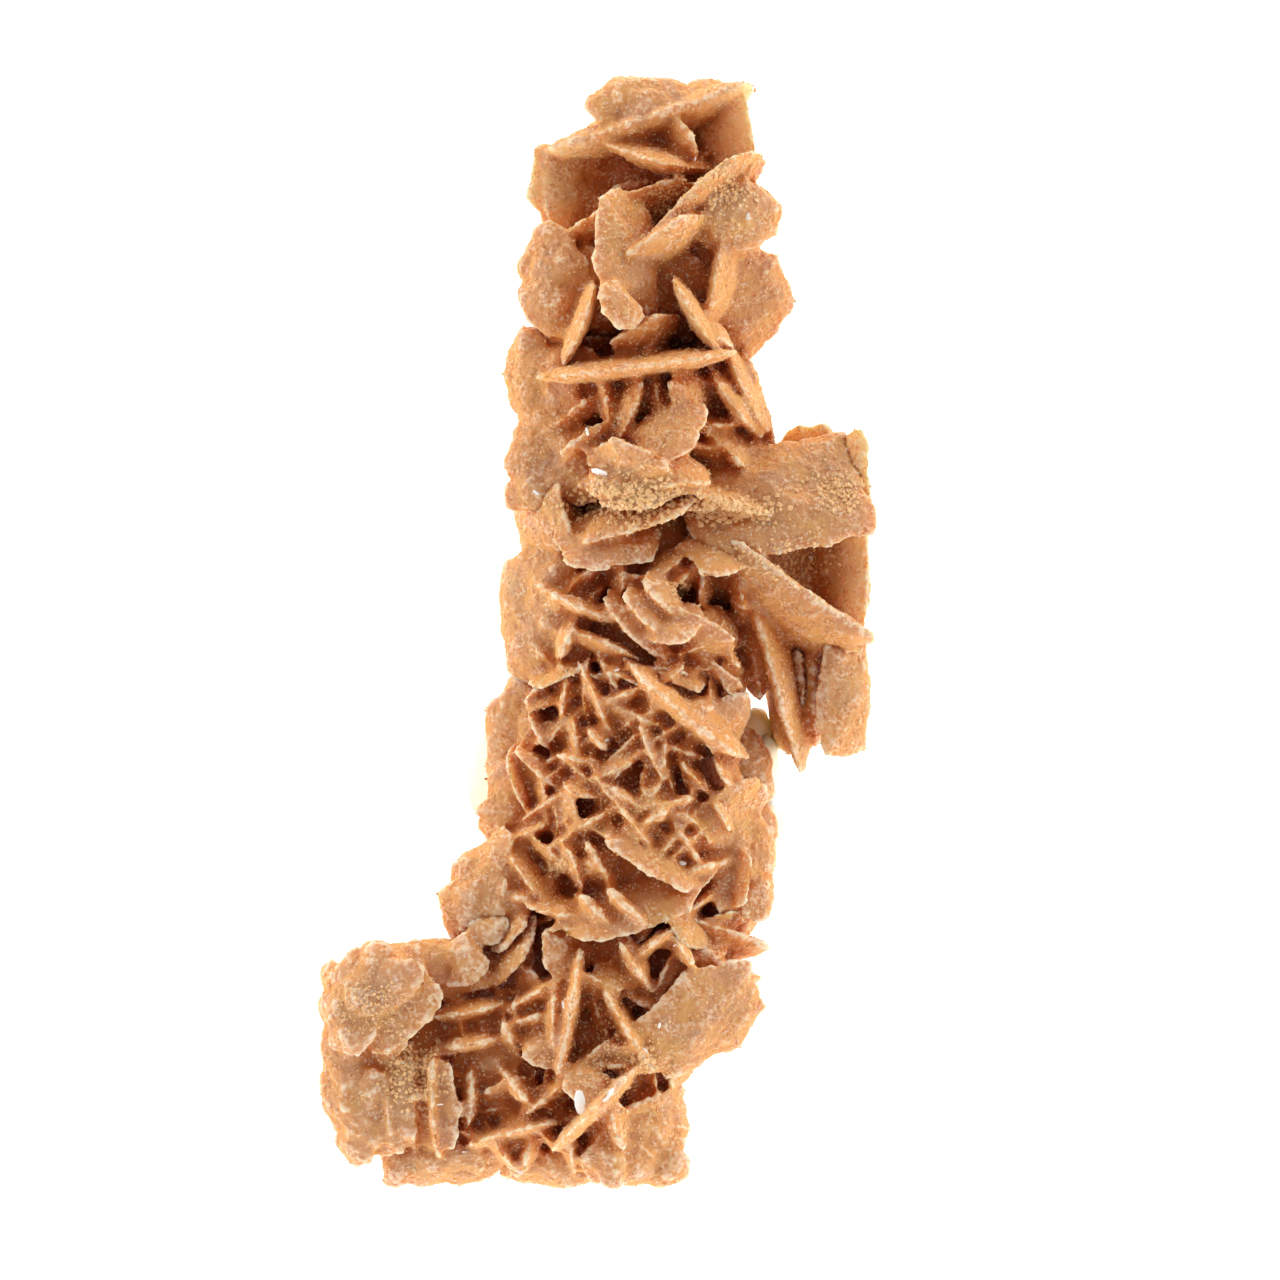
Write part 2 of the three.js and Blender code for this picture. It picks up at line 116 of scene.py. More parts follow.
NECK = blades({
    "chevron_upper": ((-6.1, 19.5, 19.0), (0.8, 24.4, 22.0), 12.5, -18, 1.9),
    "chevron_lower": ((-4.6, 17.0, 21.0), (3.5, 23.1, 23.5), 12.5, -22, 1.8),
    "left_bump": ((0.4, 30.4, 19.5), (0.0, 20.2, 19.0), 9.6, -58, 3.0),
    "left_cheek": ((0.6, 20.6, 19.5), (0.6, 12.6, 19.5), 9.8, -60, 3.4),
    "frame_right": ((8.2, 20.2, 23.5), (7.0, 25.2, 24.0), 10.5, -22, 1.5),
    "leaf": ((0.9, 20.0, 25.6), (8.1, 16.0, 26.6), 7.5, -30, 1.7),
    "leaf_lobe": ((6.4, 15.6, 26.4), (12.6, 20.6, 25.4), 7, 50, 1.5),
    "brace_inner": ((9.8, 20.6, 21.5), (16.8, 14.6, 18.5), 11.5, 14, 1.7),
    "brace_outer": ((14.6, 19.8, 17.5), (17.6, 12.6, 16.0), 10.5, 12, 2.2),
    "crust_slab": ((-0.9, 11.6, 24.0), (9.6, 13.0, 25.0), 9.5, 44, 3.2),
    "crust_lip": ((-1.9, 8.4, 23.0), (10.5, 12.4, 24.5), 10, 24, 1.5),
    "sand_bar": ((9.0, 13.8, 24.5), (18.7, 11.0, 21.0), 11.5, 12, 1.8),
    "left_fold": ((-3.8, 16.2, 20.5), (-2.2, 8.6, 21.5), 10.5, -30, 1.5),
})

BOSS = blades({
    "upper_plate": ((10.8, 6.0, 21.6), (28.0, 9.8, 20.4), 12, 66, 3.2),
    "right_wall": ((28.7, 19.4, 17.5), (27.7, -1.8, 17.5), 13, -42, 2.8),
    "broad_blade": ((14.0, 9.0, 22.5), (27.4, -0.4, 20.0), 13, -26, 3.5),
    "corner_tip": ((23.8, 2.4, 17.6), (28.8, -1.2, 16.0), 7, 8, 2.2),
    "hanging_left": ((14.6, 6.0, 19.5), (20.4, -14.2, 17.0), 12.5, 12, 2.8),
    "hanging_middle": ((20.3, 0.0, 14.6), (20.9, -12.9, 13.0), 11.5, -14, 3.0),
    "hanging_right": ((22.0, -0.4, 17.0), (22.2, -12.6, 15.0), 6.6, 56, 3.4),
    "hanging_fill": ((21.6, 1.0, 15.0), (21.9, -11.6, 13.5), 9, 0, 3.2),
    "inner_hang": ((15.2, 4.0, 16.0), (16.4, -7.0, 14.5), 9.5, -4, 3.4),
    "ruffle": ((8.4, 6.1, 23.6), (16.0, 5.5, 23.0), 9, 34, 1.2),
})

MIDDLE = blades({
    "scallop_left": ((-5.1, 7.6, 22.0), (4.6, 4.9, 24.0), 9, 46, 1.3),
    "orange_bar": ((-6.8, 4.9, 20.0), (1.2, 1.2, 23.0), 9, 4, 2.0),
    "left_hip": ((-1.0, 8.6, 18.5), (-0.8, -5.0, 18.0), 10.4, -60, 4.0),
    "scallop_lower": ((0.1, 3.1, 22.5), (6.3, -3.0, 23.0), 6.5, 30, 1.4),
    "scallop_middle": ((2.3, 3.8, 23.6), (6.7, -0.8, 24.2), 5.5, 26, 1.3),
    "fan_lower": ((6.0, -1.7, 24.6), (11.2, 0.6, 24.2), 5.5, 38, 1.3),
    "fan_upper": ((7.0, 3.2, 24.2), (14.5, -0.5, 22.4), 6, -34, 1.3),
    "shelf": ((8.6, -0.6, 22.0), (15.7, -5.8, 19.5), 11.5, -20, 1.4),
    "shelf_face": ((10.4, -7.0, 20.5), (15.4, -5.2, 18.5), 6, -48, 1.3),
    "net_top": ((-1.6, -3.6, 21.5), (9.7, -3.2, 22.8), 9.5, -26, 1.3),
    "spindle": ((2.6, -2.9, 25.2), (14.7, -13.0, 24.2), 12, 3, 3.0),
})

NET = blades({
    "slope": ((-1.5, -2.9, 22.0), (1.6, -10.2, 22.4), 9.5, 0, 1.2),
    "bar": ((-0.4, -7.1, 22.6), (6.1, -4.6, 23.0), 9, -8, 1.2),
    "spur_left": ((-6.2, -11.4, 18.6), (-1.6, -7.7, 20.8), 8.5, 8, 1.2),
    "vee_left": ((4.0, -8.8, 23.6), (6.3, -14.4, 23.8), 9.5, 18, 1.2),
    "tie": ((-0.4, -14.7, 23.2), (4.9, -12.0, 23.6), 9.5, 10, 1.2),
    "cell_side": ((6.8, -16.9, 23.6), (10.4, -23.0, 22.6), 9.5, -8, 1.2),
    "right_leaf": ((8.6, -20.6, 21.6), (12.5, -14.8, 20.5), 9, -44, 1.6),
    "cell_bar": ((-1.5, -19.5, 22.6), (2.0, -25.6, 23.0), 9.5, 0, 1.2),
    "post": ((-2.8, -3.2, 20.5), (-3.6, -9.0, 20.0), 8.5, 4, 1.2),
    "stem": ((-2.3, -7.6, 21.4), (-1.3, -15.0, 21.8), 9.5, -5, 1.2),
    "rail": ((1.4, -7.0, 22.8), (7.3, -9.5, 23.0), 8.5, 8, 1.1),
    "vee_right": ((7.2, -9.2, 23.2), (6.4, -14.0, 23.6), 8.5, -10, 1.0),
    "tie_lower": ((-0.3, -14.1, 23.6), (4.7, -17.3, 24.2), 9.5, 0, 1.2),
    "tie_bright": ((4.2, -17.2, 24.2), (10.5, -15.8, 23.0), 9.5, -12, 1.1),
    "long_upper": ((-8.7, -18.9, 17.8), (-0.3, -14.0, 22.6), 11.5, -8, 1.4),
    "long_middle": ((-9.5, -20.9, 18.0), (-3.6, -18.3, 20.4), 10.5, -6, 1.4),
    "long_lower": ((-5.9, -21.9, 20.6), (2.0, -16.8, 23.8), 11.5, -10, 1.5),
    "crossing": ((0.8, -15.0, 23.6), (5.7, -21.3, 24.2), 9.5, 8, 1.1),
    "scallop": ((0.0, -20.2, 24.2), (8.9, -26.1, 24.2), 6.5, 32, 1.4),
    "knee_bar": ((-9.5, -20.9, 18.6), (-4.4, -27.8, 21.2), 11.5, 15, 1.5),
    "wedge": ((0.7, -24.4, 23.6), (5.0, -28.6, 24.2), 9.5, -10, 1.4),
    "base_bar": ((-8.0, -27.0, 20.0), (1.6, -28.5, 22.6), 10.5, 10, 1.3),
    "crescent": ((-2.4, -32.2, 23.4), (14.0, -25.4, 22.0), 8.5, 48, 2.0),
    "right_flank": ((10.2, -15.0, 18.0), (10.2, -28.4, 18.0), 8, 54, 3.0),
    "right_low": ((8.0, -10.4, 13.5), (8.6, -26.5, 13.5), 9.8, 60, 3.0),
    "left_low": ((-1.8, -5.0, 15.5), (-3.4, -20.8, 15.0), 9.2, -60, 3.2),
    "knee": ((-6.0, -20.4, 18.5), (-6.4, -30.4, 17.5), 9.2, -60, 4.0),
})

ANKLE = blades({
    "disc": ((1.4, -38.9, 22.4), (14.3, -30.0, 20.8), 10, -66, 3.0),
    "disc_upper": ((8.2, -27.8, 20.0), (18.2, -31.2, 15.0), 10.5, -22, 2.0),
    "disc_middle": ((9.3, -31.8, 19.5), (17.4, -34.3, 14.0), 8, -34, 1.8),
    "box_right": ((7.2, -29.1, 23.2), (9.9, -33.2, 22.6), 9.5, -4, 1.1),
    "box_left": ((2.0, -29.9, 23.2), (5.4, -35.3, 23.2), 9.5, 0, 1.2),
    "long_brace": ((0.2, -34.2, 22.6), (5.3, -43.0, 23.8), 11.5, 0, 1.3),
    "post_left": ((-4.1, -33.9, 22.2), (-4.2, -41.3, 22.2), 10.5, 0, 1.5),
    "post_right": ((-1.4, -30.9, 23.2), (-3.6, -43.0, 24.4), 12.5, 0, 2.0),
    "pale_face": ((-6.2, -29.4, 21.0), (-4.6, -34.6, 21.0), 6.5, 52, 1.4),
    "rafter": ((-9.9, -37.8, 19.6), (-3.4, -33.8, 22.2), 11.5, -10, 1.5),
    "slab": ((-8.4, -41.5, 20.8), (-3.4, -43.5, 21.6), 6, 48, 1.4),
    "elbow_outer": ((-11.4, -33.4, 17.5), (-6.0, -27.6, 20.0), 11.5, 22, 2.2),
    "elbow_inner": ((-9.9, -35.8, 19.0), (-5.1, -29.4, 20.8), 11.5, 26, 1.8),
})

FOOT = blades({
    "strut": ((-6.9, -47.6, 22.0), (1.0, -40.7, 23.2), 11.5, 0, 1.4),
    "strut_bright": ((-4.7, -51.0, 24.0), (3.5, -42.7, 24.6), 11, -6, 1.8),
    "strut_left": ((-9.9, -42.6, 21.2), (-6.0, -47.0, 21.2), 10.5, 0, 1.4),
    "tie": ((-13.7, -50.7, 20.0), (-3.3, -47.8, 21.2), 10.5, -6, 1.2),
    "toe": ((-0.4, -48.4, 18.5), (9.4, -49.4, 15.5), 8.6, -58, 3.2),
    "toe_bar": ((2.4, -46.9, 19.4), (9.4, -44.8, 15.0), 9, -32, 1.8),
    "vee_left": ((-10.6, -49.6, 20.2), (-7.4, -54.4, 18.4), 10.5, 0, 1.3),
    "vee_right": ((-6.4, -48.9, 20.2), (-7.5, -54.8, 18.4), 10.5, 0, 1.4),
    "low_long": ((1.5, -47.2, 20.6), (-2.0, -54.6, 18.0), 11.5, 0, 1.6),
    "low_edge": ((-9.4, -49.6, 14.5), (-0.2, -50.0, 14.5), 8.4, -50, 3.4),
    "edge_plate": ((-13.8, -42.2, 20.6), (-13.2, -51.6, 19.0), 7.4, -52, 1.8),
    "top": ((-24.4, -37.6, 17.0), (-9.6, -35.4, 18.2), 5.6, 62, 3.4),
    "cap": ((-15.6, -34.2, 21.2), (-21.4, -43.0, 20.6), 10.5, -66, 2.8),
    "heel": ((-21.4, -33.4, 20.0), (-20.4, -43.8, 19.5), 9, -56, 3.0),
    "low": ((-18.4, -42.8, 19.6), (-18.4, -52.2, 18.0), 9, -60, 3.2),
    "diagonal": ((-25.4, -42.8, 17.5), (-18.7, -49.0, 19.5), 10.5, -22, 2.0),
    "wall": ((-18.4, -40.4, 20.2), (-17.9, -51.8, 19.0), 10.5, 0, 1.4),
    "base": ((-20.8, -48.2, 16.0), (-10.4, -49.6, 16.0), 8.4, -54, 3.4),
    "base_low": ((-21.0, -49.4, 10.0), (-13.2, -50.2, 10.0), 8, -50, 3.0),
    "cross_bar": ((-16.9, -38.2, 19.8), (-8.7, -36.8, 19.8), 9.5, 0, 1.4),
})

# %% Thinner blades between them, which the solid leaves out
SLENDER = blades({
    "under_bar": ((2.3, 49.6, 17.5), (8.7, 47.6, 17.5), 8, 0, 1.3),
    "knife_twin": ((2.4, 37.0, 25.5), (10.4, 41.8, 25.5), 10, -12, 2.6),
    "little_tongue": ((-0.4, 33.2, 26.2), (2.6, 29.4, 26.0), 3.2, 60, 1.3),
    "crust_lump": ((8.6, 42.6, 22.5), (14.2, 46.9, 20.5), 9, -58, 3.0),
    "diagonal_low": ((9.2, 31.2, 23.0), (14.0, 27.8, 21.0), 7, 8, 1.1),
    "frame_left": ((2.7, 19.2, 23.5), (4.8, 25.0, 24.0), 8, 15, 1.3),
    "leaf_spur": ((4.2, 17.3, 25.2), (11.0, 14.0, 24.5), 6, 20, 1.0),
    "bright_edge": ((-1.6, 16.3, 23.0), (4.6, 15.2, 23.6), 5, 48, 1.0),
    "scallop_upper": ((4.1, 5.6, 24.0), (7.3, 1.7, 24.6), 5, 22, 1.2),
    "wedge_left": ((-1.8, -25.4, 22.6), (1.9, -29.0, 23.4), 6, -10, 1.3),
    "right_bar": ((8.0, -23.6, 23.0), (14.6, -22.0, 20.6), 8, -4, 1.3),
    "box_top": ((3.5, -32.0, 22.8), (7.6, -29.1, 23.2), 6, 0, 1.0),
    "rafter_lower": ((-9.6, -38.9, 19.6), (-4.4, -37.4, 21.0), 6, -10, 1.1),
    "slab_side": ((-9.3, -38.2, 20.6), (-7.6, -42.0, 20.6), 6, 0, 1.1),
    "bridge": ((-4.0, -44.6, 23.2), (-0.4, -46.9, 23.6), 4.4, 56, 1.0),
    "peg": ((0.9, -46.2, 21.6), (2.8, -51.6, 20.0), 8, 0, 1.4),
    "toe_side": ((4.8, -47.6, 17.4), (7.4, -52.8, 15.0), 8, 26, 2.0),
    "low_short": ((-2.9, -49.4, 20.2), (-2.0, -55.2, 17.0), 8, 0, 1.3),
    "cross_bar_low": ((-15.9, -41.2, 20.2), (-9.0, -40.0, 20.2), 6, 0, 1.2),
    "net_small_upper": ((-0.9, -9.4, 22.8), (0.9, -11.4, 22.8), 6, 5, 0.9),
    "net_small_lower": ((4.3, -18.8, 24.2), (7.3, -16.9, 24.0), 6, -6, 0.9),
    "knee_small": ((-10.2, -25.8, 18.0), (-5.7, -26.4, 20.0), 6, 8, 1.1),
    "knee_low": ((-12.4, -23.0, 15.0), (-8.0, -28.8, 17.0), 6, 14, 1.3),
    "foot_rib": ((-16.4, -41.4, 20.9), (-16.0, -52.6, 18.8), 7, 5, 1.3),
    "foot_rib_short": ((-20.9, -43.6, 20.2), (-20.3, -52.0, 18.2), 6, -6, 1.3),
    "foot_rib_inner": ((-12.2, -43.0, 20.2), (-12.6, -49.6, 19.2), 6, -8, 1.1),
    "foot_cross": ((-21.4, -46.6, 19.0), (-14.6, -45.2, 20.4), 6, 6, 1.0),
    "cheek_fold_upper": ((-6.6, 22.2, 17.0), (-2.2, 18.2, 19.8), 7, -14, 1.5),
    "cheek_fold_lower": ((-5.8, 14.2, 17.5), (-1.2, 17.0, 20.4), 7, -10, 1.5),
    "hip_fold": ((-8.6, 2.2, 16.5), (-4.4, -3.6, 18.6), 6, 16, 1.5),
    "neck_spine": ((0.4, 26.2, 22.5), (1.6, 19.6, 22.5), 8, 6, 1.3),
    "neck_spine_right": ((5.6, 26.0, 22.5), (6.6, 20.2, 22.5), 8, -6, 1.3),
    "inner_bar_upper": ((-3.7, -2.6, 21.0), (-2.2, 0.9, 21.5), 6, 4, 1.0),
    "inner_bar_lower": ((-3.7, 0.9, 21.5), (4.3, -2.1, 22.8), 6, -8, 1.0),
})

# %% How some outlines and faces differ from the rest
smooth_faces = [MIDDLE["left_hip"], SHOULDER["wing"], ANKLE["disc"], BOSS["upper_plate"],
                BOSS["right_wall"], CROWN["tongue"], BOSS["hanging_right"]]
straight_edged = [CROWN["right_edge"], BOSS["upper_plate"], BOSS["right_wall"],
                  BOSS["broad_blade"]]
round_edged = [ANKLE["disc"], SHOULDER["wing"], NET["crescent"]]
named_groups = (CROWN, SHOULDER, NECK, BOSS, MIDDLE, NET, ANKLE, FOOT, SLENDER)
named_blades = [spec for group in named_groups for spec in group.values()]
print(len(named_blades), "blades are set by hand")

# %% [markdown]
# ## The underside
#
# The photographed side shows nothing of the back, yet the stone has to be whole when it is
# turned over. The blades there are set by rule, in rings round the cluster's middle line. The
# scatter function gives the same well-mixed numbers on every run.

# %% The middle line and the rings of blades round it
LINE = [(4.5, 45.0), (5.0, 30.0), (5.0, 8.0), (3.5, -14.0), (1.0, -34.0), (-1.0, -46.0)]
BRANCHES = [[(13.0, 6.0), (20.0, 5.0)], [(-9.0, -43.0), (-19.0, -44.0)]]
RING = [(-128, 70), (-163, 170), (163, 170), (128, 70)]
RING_SWAY = 24
ROW_SPACING = 9.4
AXIS_HEIGHT = 9.4
UNDER_REACH = (10.7, 12.1)
UNDER_LENGTH = (11, 17)
UNDER_DEPTH = 10
UNDER_THICKNESS = (1.8, 2.4)
SEEDS_APART = 17
MIX = 43758.5453


def scatter(number):
    """A number from 0 to 1, the fraction of a much enlarged sine."""
    return (math.sin(number + 1) * MIX) % 1


def between(limits, share):
    return limits[0] + (limits[1] - limits[0]) * share


def steps_along(corners, spacing):
    """Points and directions at even steps along a line of corners."""
    corners = [Vector(corner) for corner in corners]
    sides = list(zip(corners, corners[1:]))
    total = sum((b - a).length for a, b in sides)
    count = round(total / spacing)
    for step in range(count + 1):
        left = total * min(step / count, 0.9999)
        for a, b in sides:
            if left <= (b - a).length:
                break
            left -= (b - a).length
        way = (b - a).normalized()
        yield a + way * left, way


def under_blade(at, way, ring, seed):
    """One blade of the underside: its place on the ring is also its lean."""
    ring_angle, turn = ring
    lean = ring_angle + between((-RING_SWAY / 2, RING_SWAY / 2), scatter(seed))
    reach = between(UNDER_REACH, scatter(seed + 1))
    aside = reach * math.sin(math.radians(lean))
    height = AXIS_HEIGHT + reach * math.cos(math.radians(lean))
    middle = Vector((at.x + way.y * aside, at.y - way.x * aside, height))
    turned = math.radians(between((-turn / 2, turn / 2), scatter(seed + 2)))
    heading = math.atan2(way.y, way.x) + turned
    length = between(UNDER_LENGTH, scatter(seed + 3))
    half = Vector((math.cos(heading), math.sin(heading), 0)) * length / 2
    thickness = between(UNDER_THICKNESS, scatter(seed + 4))
    return blade(middle - half, middle + half, UNDER_DEPTH, lean, thickness)


under_blades = []
for corners in [LINE, *BRANCHES]:
    for row, (at, way) in enumerate(steps_along(corners, ROW_SPACING)):
        for place, ring in enumerate(RING):
            if (row + place) % 2 == 0:
                under_blades.append(under_blade(at, way, ring, SEEDS_APART * len(under_blades)))
print(len(under_blades), "blades make the underside")

# %% [markdown]
# ## Small blades in the hollows
#
# Between the large blades the real piece is full of small ones, which is why its hollows look
# like nets and nests. There are too many to list, so each is thrown by chance: a place on a
# shaken grid, a heading, and a crest somewhat under the large crests around it. A throw that
# lands on a broad face is dropped, because those faces are bare on the real piece, and so is one
# whose ends would stick out past the stone.

# %% How high the crests around a place are
UPRIGHT = 38
crest_points = np.array([
    tuple(spec.start.lerp(spec.end, share))
    for spec in named_blades if abs(spec.lean) <= UPRIGHT
    for share in (0.15, 0.5, 0.85)
])
NEAR = 3.0 * MM


def crest_height(x, y):
    """The height of the upright crests around a place, the nearest counting most."""
    apart = np.hypot(crest_points[:, 0] - x, crest_points[:, 1] - y)
    weight = np.exp(-((apart / NEAR) ** 2)) + 1e-9
    return float((weight * crest_points[:, 2]).sum() / weight.sum())


def axes_of(spec):
    """A blade's own directions: along its crest, down its face, and square to its face."""
    along = (spec.end - spec.start).normalized()
    down = Vector((0, 0, -1))
    down = (down - along * down.dot(along)).normalized()
    down.rotate(Quaternion(along, math.radians(spec.lean)))
    return along, down, along.cross(down)


def centre_of(spec):
    return (spec.start + spec.end) / 2 + axes_of(spec)[1] * spec.depth / 2


broad_faces = [
    (centre_of(spec), axes_of(spec), spec) for spec in named_blades if abs(spec.lean) > UPRIGHT
]
FACE_CLEARANCE = 4.5 * MM
FACE_SHARE = 0.46
FACE_SUNK = -1 * MM


def on_a_broad_face(place):
    for centre, (along, down, normal), spec in broad_faces:
        if normal.z < 0:
            normal = -normal
        apart = place - centre
        inside = abs(apart.dot(along)) < FACE_SHARE * (spec.end - spec.start).length
        inside = inside and abs(apart.dot(down)) < FACE_SHARE * spec.depth
        if inside and FACE_SUNK < apart.dot(normal) < FACE_CLEARANCE:
            return True
    return False


# %% The heart of the stone, and what stands over it
# Each lump: centre, radius, and its height as a share of the radius.
HEART = [
    (4.5, 45.0, 10.0, 8.8, 0.42), (5.0, 37.0, 9.5, 9.0, 0.40), (10.5, 33.0, 9.5, 7.8, 0.45),
    (5.0, 27.0, 9.8, 9.4, 0.48), (5.0, 17.5, 9.8, 9.4, 0.66), (4.5, 8.0, 10.2, 9.6, 0.86),
    (15.0, 8.5, 9.5, 8.4, 0.70), (20.5, 5.0, 9.5, 7.4, 0.60), (4.0, -2.0, 10.2, 9.6, 0.95),
    (3.0, -9.5, 10.4, 10.4, 1.0), (3.5, -14.5, 10.4, 10.4, 1.0), (3.5, -21.0, 10.4, 10.6, 1.0),
    (2.5, -31.0, 10.2, 10.2, 0.90), (0.5, -40.5, 10.2, 10.2, 0.86), (0.0, -46.5, 9.5, 8.4, 0.90),
    (10.5, -27.0, 9.5, 6.4, 0.80), (-10.0, -42.5, 10.4, 9.8, 0.88),
    (-18.0, -42.0, 10.4, 9.2, 0.80), (-17.0, -46.5, 10.0, 7.6, 0.80),
]
OVERHANG = 0.6 * MM
EDGE_ON = 0.1
HELD_ALONG = 0.45
HELD_DOWN = 0.42


def over_the_stone(point):
    """Whether a place has the heart or a broad face under it, so that nothing there sticks out."""
    for x, y, _, radius, _ in HEART:
        if math.hypot(point.x - x * MM, point.y - y * MM) < radius * MM + OVERHANG:
            return True
    for centre, (along, down, _), spec in broad_faces:
        apart = (point - centre).to_2d()
        along, down = along.to_2d(), down.to_2d()
        area = along.cross(down)
        if abs(area) > EDGE_ON:
            share_along = apart.cross(down) / area / (spec.end - spec.start).length
            share_down = along.cross(apart) / area / spec.depth
            if abs(share_along) < HELD_ALONG and abs(share_down) < HELD_DOWN:
                return True
    return False


# %% Throw the small blades, zone by zone
Zone = namedtuple("Zone", "start end half_width spacing drop length thickness headings")
ANY_WAY = (0, 45, 90, 135)
NET_WAYS = (32, 105, 150)
ZONES = [
    Zone((4.5, 48.0), (5.0, 30.0), 7.5, 4.2, (4.0, 7.0), (4.0, 7.0), (0.9, 1.5), ANY_WAY),
    Zone((5.0, 28.0), (4.5, 10.0), 9.0, 3.0, (1.5, 5.5), (4.0, 7.5), (0.8, 1.4), ANY_WAY),
    Zone((5.0, 9.0), (3.5, -3.0), 9.5, 2.8, (1.0, 4.5), (3.5, 6.0), (0.7, 1.2), ANY_WAY),
    Zone((3.5, -3.0), (2.0, -29.0), 10.0, 2.1, (0.1, 2.0), (4.0, 7.0), (0.6, 1.0), NET_WAYS),
    Zone((2.0, -29.0), (-1.0, -53.0), 9.0, 2.6, (0.6, 3.8), (3.5, 6.5), (0.7, 1.2), ANY_WAY),
    Zone((-6.0, -43.0), (-20.0, -44.0), 7.0, 2.8, (0.6, 3.5), (3.5, 6.5), (0.7, 1.2), (0, 90)),
]
SMALL_DEPTH = 8.0
SMALL_LEAN = 28
HEADING_SPREAD = 22
CREST_SLOPE = 0.25
SHAKE = 0.45
ZONE_SEED = 11

small_blades = []
rng = random.Random(ZONE_SEED)


def grid_places(zone):
    """Places in rows across a zone, each shaken out of its row a little."""
    start, end = Vector(zone.start), Vector(zone.end)
    forward = (end - start).normalized()
    aside = forward.orthogonal()
    rows = round((end - start).length / zone.spacing)
    columns = round(2 * zone.half_width / zone.spacing)
    for row in range(rows):
        for column in range(columns + 1):
            shake = Vector((rng.uniform(-SHAKE, SHAKE), rng.uniform(-SHAKE, SHAKE))) * zone.spacing
            yield (start + forward * (row + 0.5) * zone.spacing
                   + aside * ((column + row % 2 / 2) * zone.spacing - zone.half_width) + shake)


for zone in ZONES:
    for flat in grid_places(zone):
        height = crest_height(flat.x * MM, flat.y * MM) / MM - rng.uniform(*zone.drop)
        heading = rng.choice(zone.headings)
        heading = math.radians(heading + rng.uniform(-HEADING_SPREAD, HEADING_SPREAD))
        half = Vector((math.cos(heading), math.sin(heading), rng.uniform(-CREST_SLOPE, CREST_SLOPE)))
        half *= rng.uniform(*zone.length) / 2
        middle = Vector((flat.x, flat.y, height))
        lean = rng.uniform(-SMALL_LEAN, SMALL_LEAN)
        thrown = blade(middle - half, middle + half, SMALL_DEPTH, lean, rng.uniform(*zone.thickness))
        bare = on_a_broad_face(thrown.start.lerp(thrown.end, 0.5))
        if not bare and over_the_stone(thrown.start) and over_the_stone(thrown.end):
            small_blades.append(thrown)
print(len(small_blades), "small blades landed in the hollows")

# %% Lay shingles on the stout faces
SHINGLED_FROM = 2.4 * MM
SHINGLE_TURN = 24
SHINGLES_PER_MM2 = 0.11
SHINGLE_PLACE = (-0.38, 0.38)
SHINGLE_DOWN = (-0.38, 0.12)
SHINGLE_ROOT = 0.2 * MM
SHINGLE_HEADING = 35
SHINGLE_LIFT = 8
SHINGLE_HALF = (1.8, 4.2)
SHINGLE_DEPTH = (3.5, 6.0)
SHINGLE_THICKNESS = (0.9, 1.7)


def shingle(centre, axes, spec):
    """A thin blade that lies nearly along a broad one and stands a little out of its face."""
    along, down, normal = axes
    if normal.z < 0:
        normal = -normal
    length = (spec.end - spec.start).length
    sideways = rng.uniform(*SHINGLE_PLACE) * length
    lower = rng.uniform(*SHINGLE_DOWN) * spec.depth
    spot = centre + along * sideways + down * lower + normal * (spec.thickness / 2 - SHINGLE_ROOT)
    turned = math.radians(rng.uniform(-SHINGLE_HEADING, SHINGLE_HEADING))
    heading = Quaternion(normal, turned) @ along
    lifted = math.radians(rng.uniform(-SHINGLE_LIFT, SHINGLE_LIFT))
    heading = Quaternion(down, lifted) @ heading
    half = heading * min(rng.uniform(*SHINGLE_HALF) * MM, length / 2 - abs(sideways))
    lean = spec.lean + rng.uniform(-SHINGLE_TURN, SHINGLE_TURN)
    depth = min(rng.uniform(*SHINGLE_DEPTH) * MM, spec.depth / 2 - lower)
    return Blade(spot - half, spot + half, depth, lean, rng.uniform(*SHINGLE_THICKNESS) * MM)


shingles = []
for centre, axes, spec in broad_faces:
    if spec.thickness >= SHINGLED_FROM and spec not in smooth_faces:
        area = (spec.end - spec.start).length * spec.depth / MM / MM
        shingles += [shingle(centre, axes, spec) for _ in range(round(area * SHINGLES_PER_MM2))]
print(len(shingles), "shingles lie on the broad faces")

# %% [markdown]
# ## One blade as a mesh
#
# A gypsum blade is a lens: thick in the middle, with a sharp, slightly scalloped rim. A round
# ball is the right start, because it is closed and its points run in rings: drawn out along the
# crest, squared up and flattened, it becomes the lens. Every point moves by the same rule, and
# the rim gets corners, and scallops from a few waves. The thin blades get the sharper rims. Each
# ball is made on its own and then added, because making it inside a big mesh gets slower with
# every blade.

# %% Shape one blade
CREST_SQUARENESS = 4.0
FACE_SQUARENESS = 3.4
CORNERS = (7, 9)
CORNER_SHIFT = 0.28
CORNER_REACH = (0.92, 1.06)
STOUT_SHARPNESS = 1.35
SLIM_SHARPNESS = 1.8
STRAIGHT_CORNERS = [-0.76, -0.25, 0.25, 0.76]
STRAIGHT_REACH = (1.30, 1.40)
STRAIGHT_SHIFT = 0.06
ROUND_SQUARENESS = 2.3
SQUARENESS_SPREAD = (-0.5, 0.8)
FACE_UNEVENNESS = 0.5
BOX_MARGIN_MM = (0.35, 1.9)
BEND = 0.035
FACE_SWELLS = 3.0 * MM
FACE_BREAKS = 0.12
FACE_BREAKS_ROUND = 3.4
SLIM_SWELL = 1.75
SLIM_BELOW = 1.75 * MM
RIM_GROWN = 0.3 * MM
NAMED_FINENESS = (48, 12)
SMALL_FINENESS = (18, 8)
SCALLOPS = [((5, 7), 0.015), ((11, 13), 0.012), ((19, 23), 0.012)]
one_blade = bpy.data.meshes.new("one_blade")


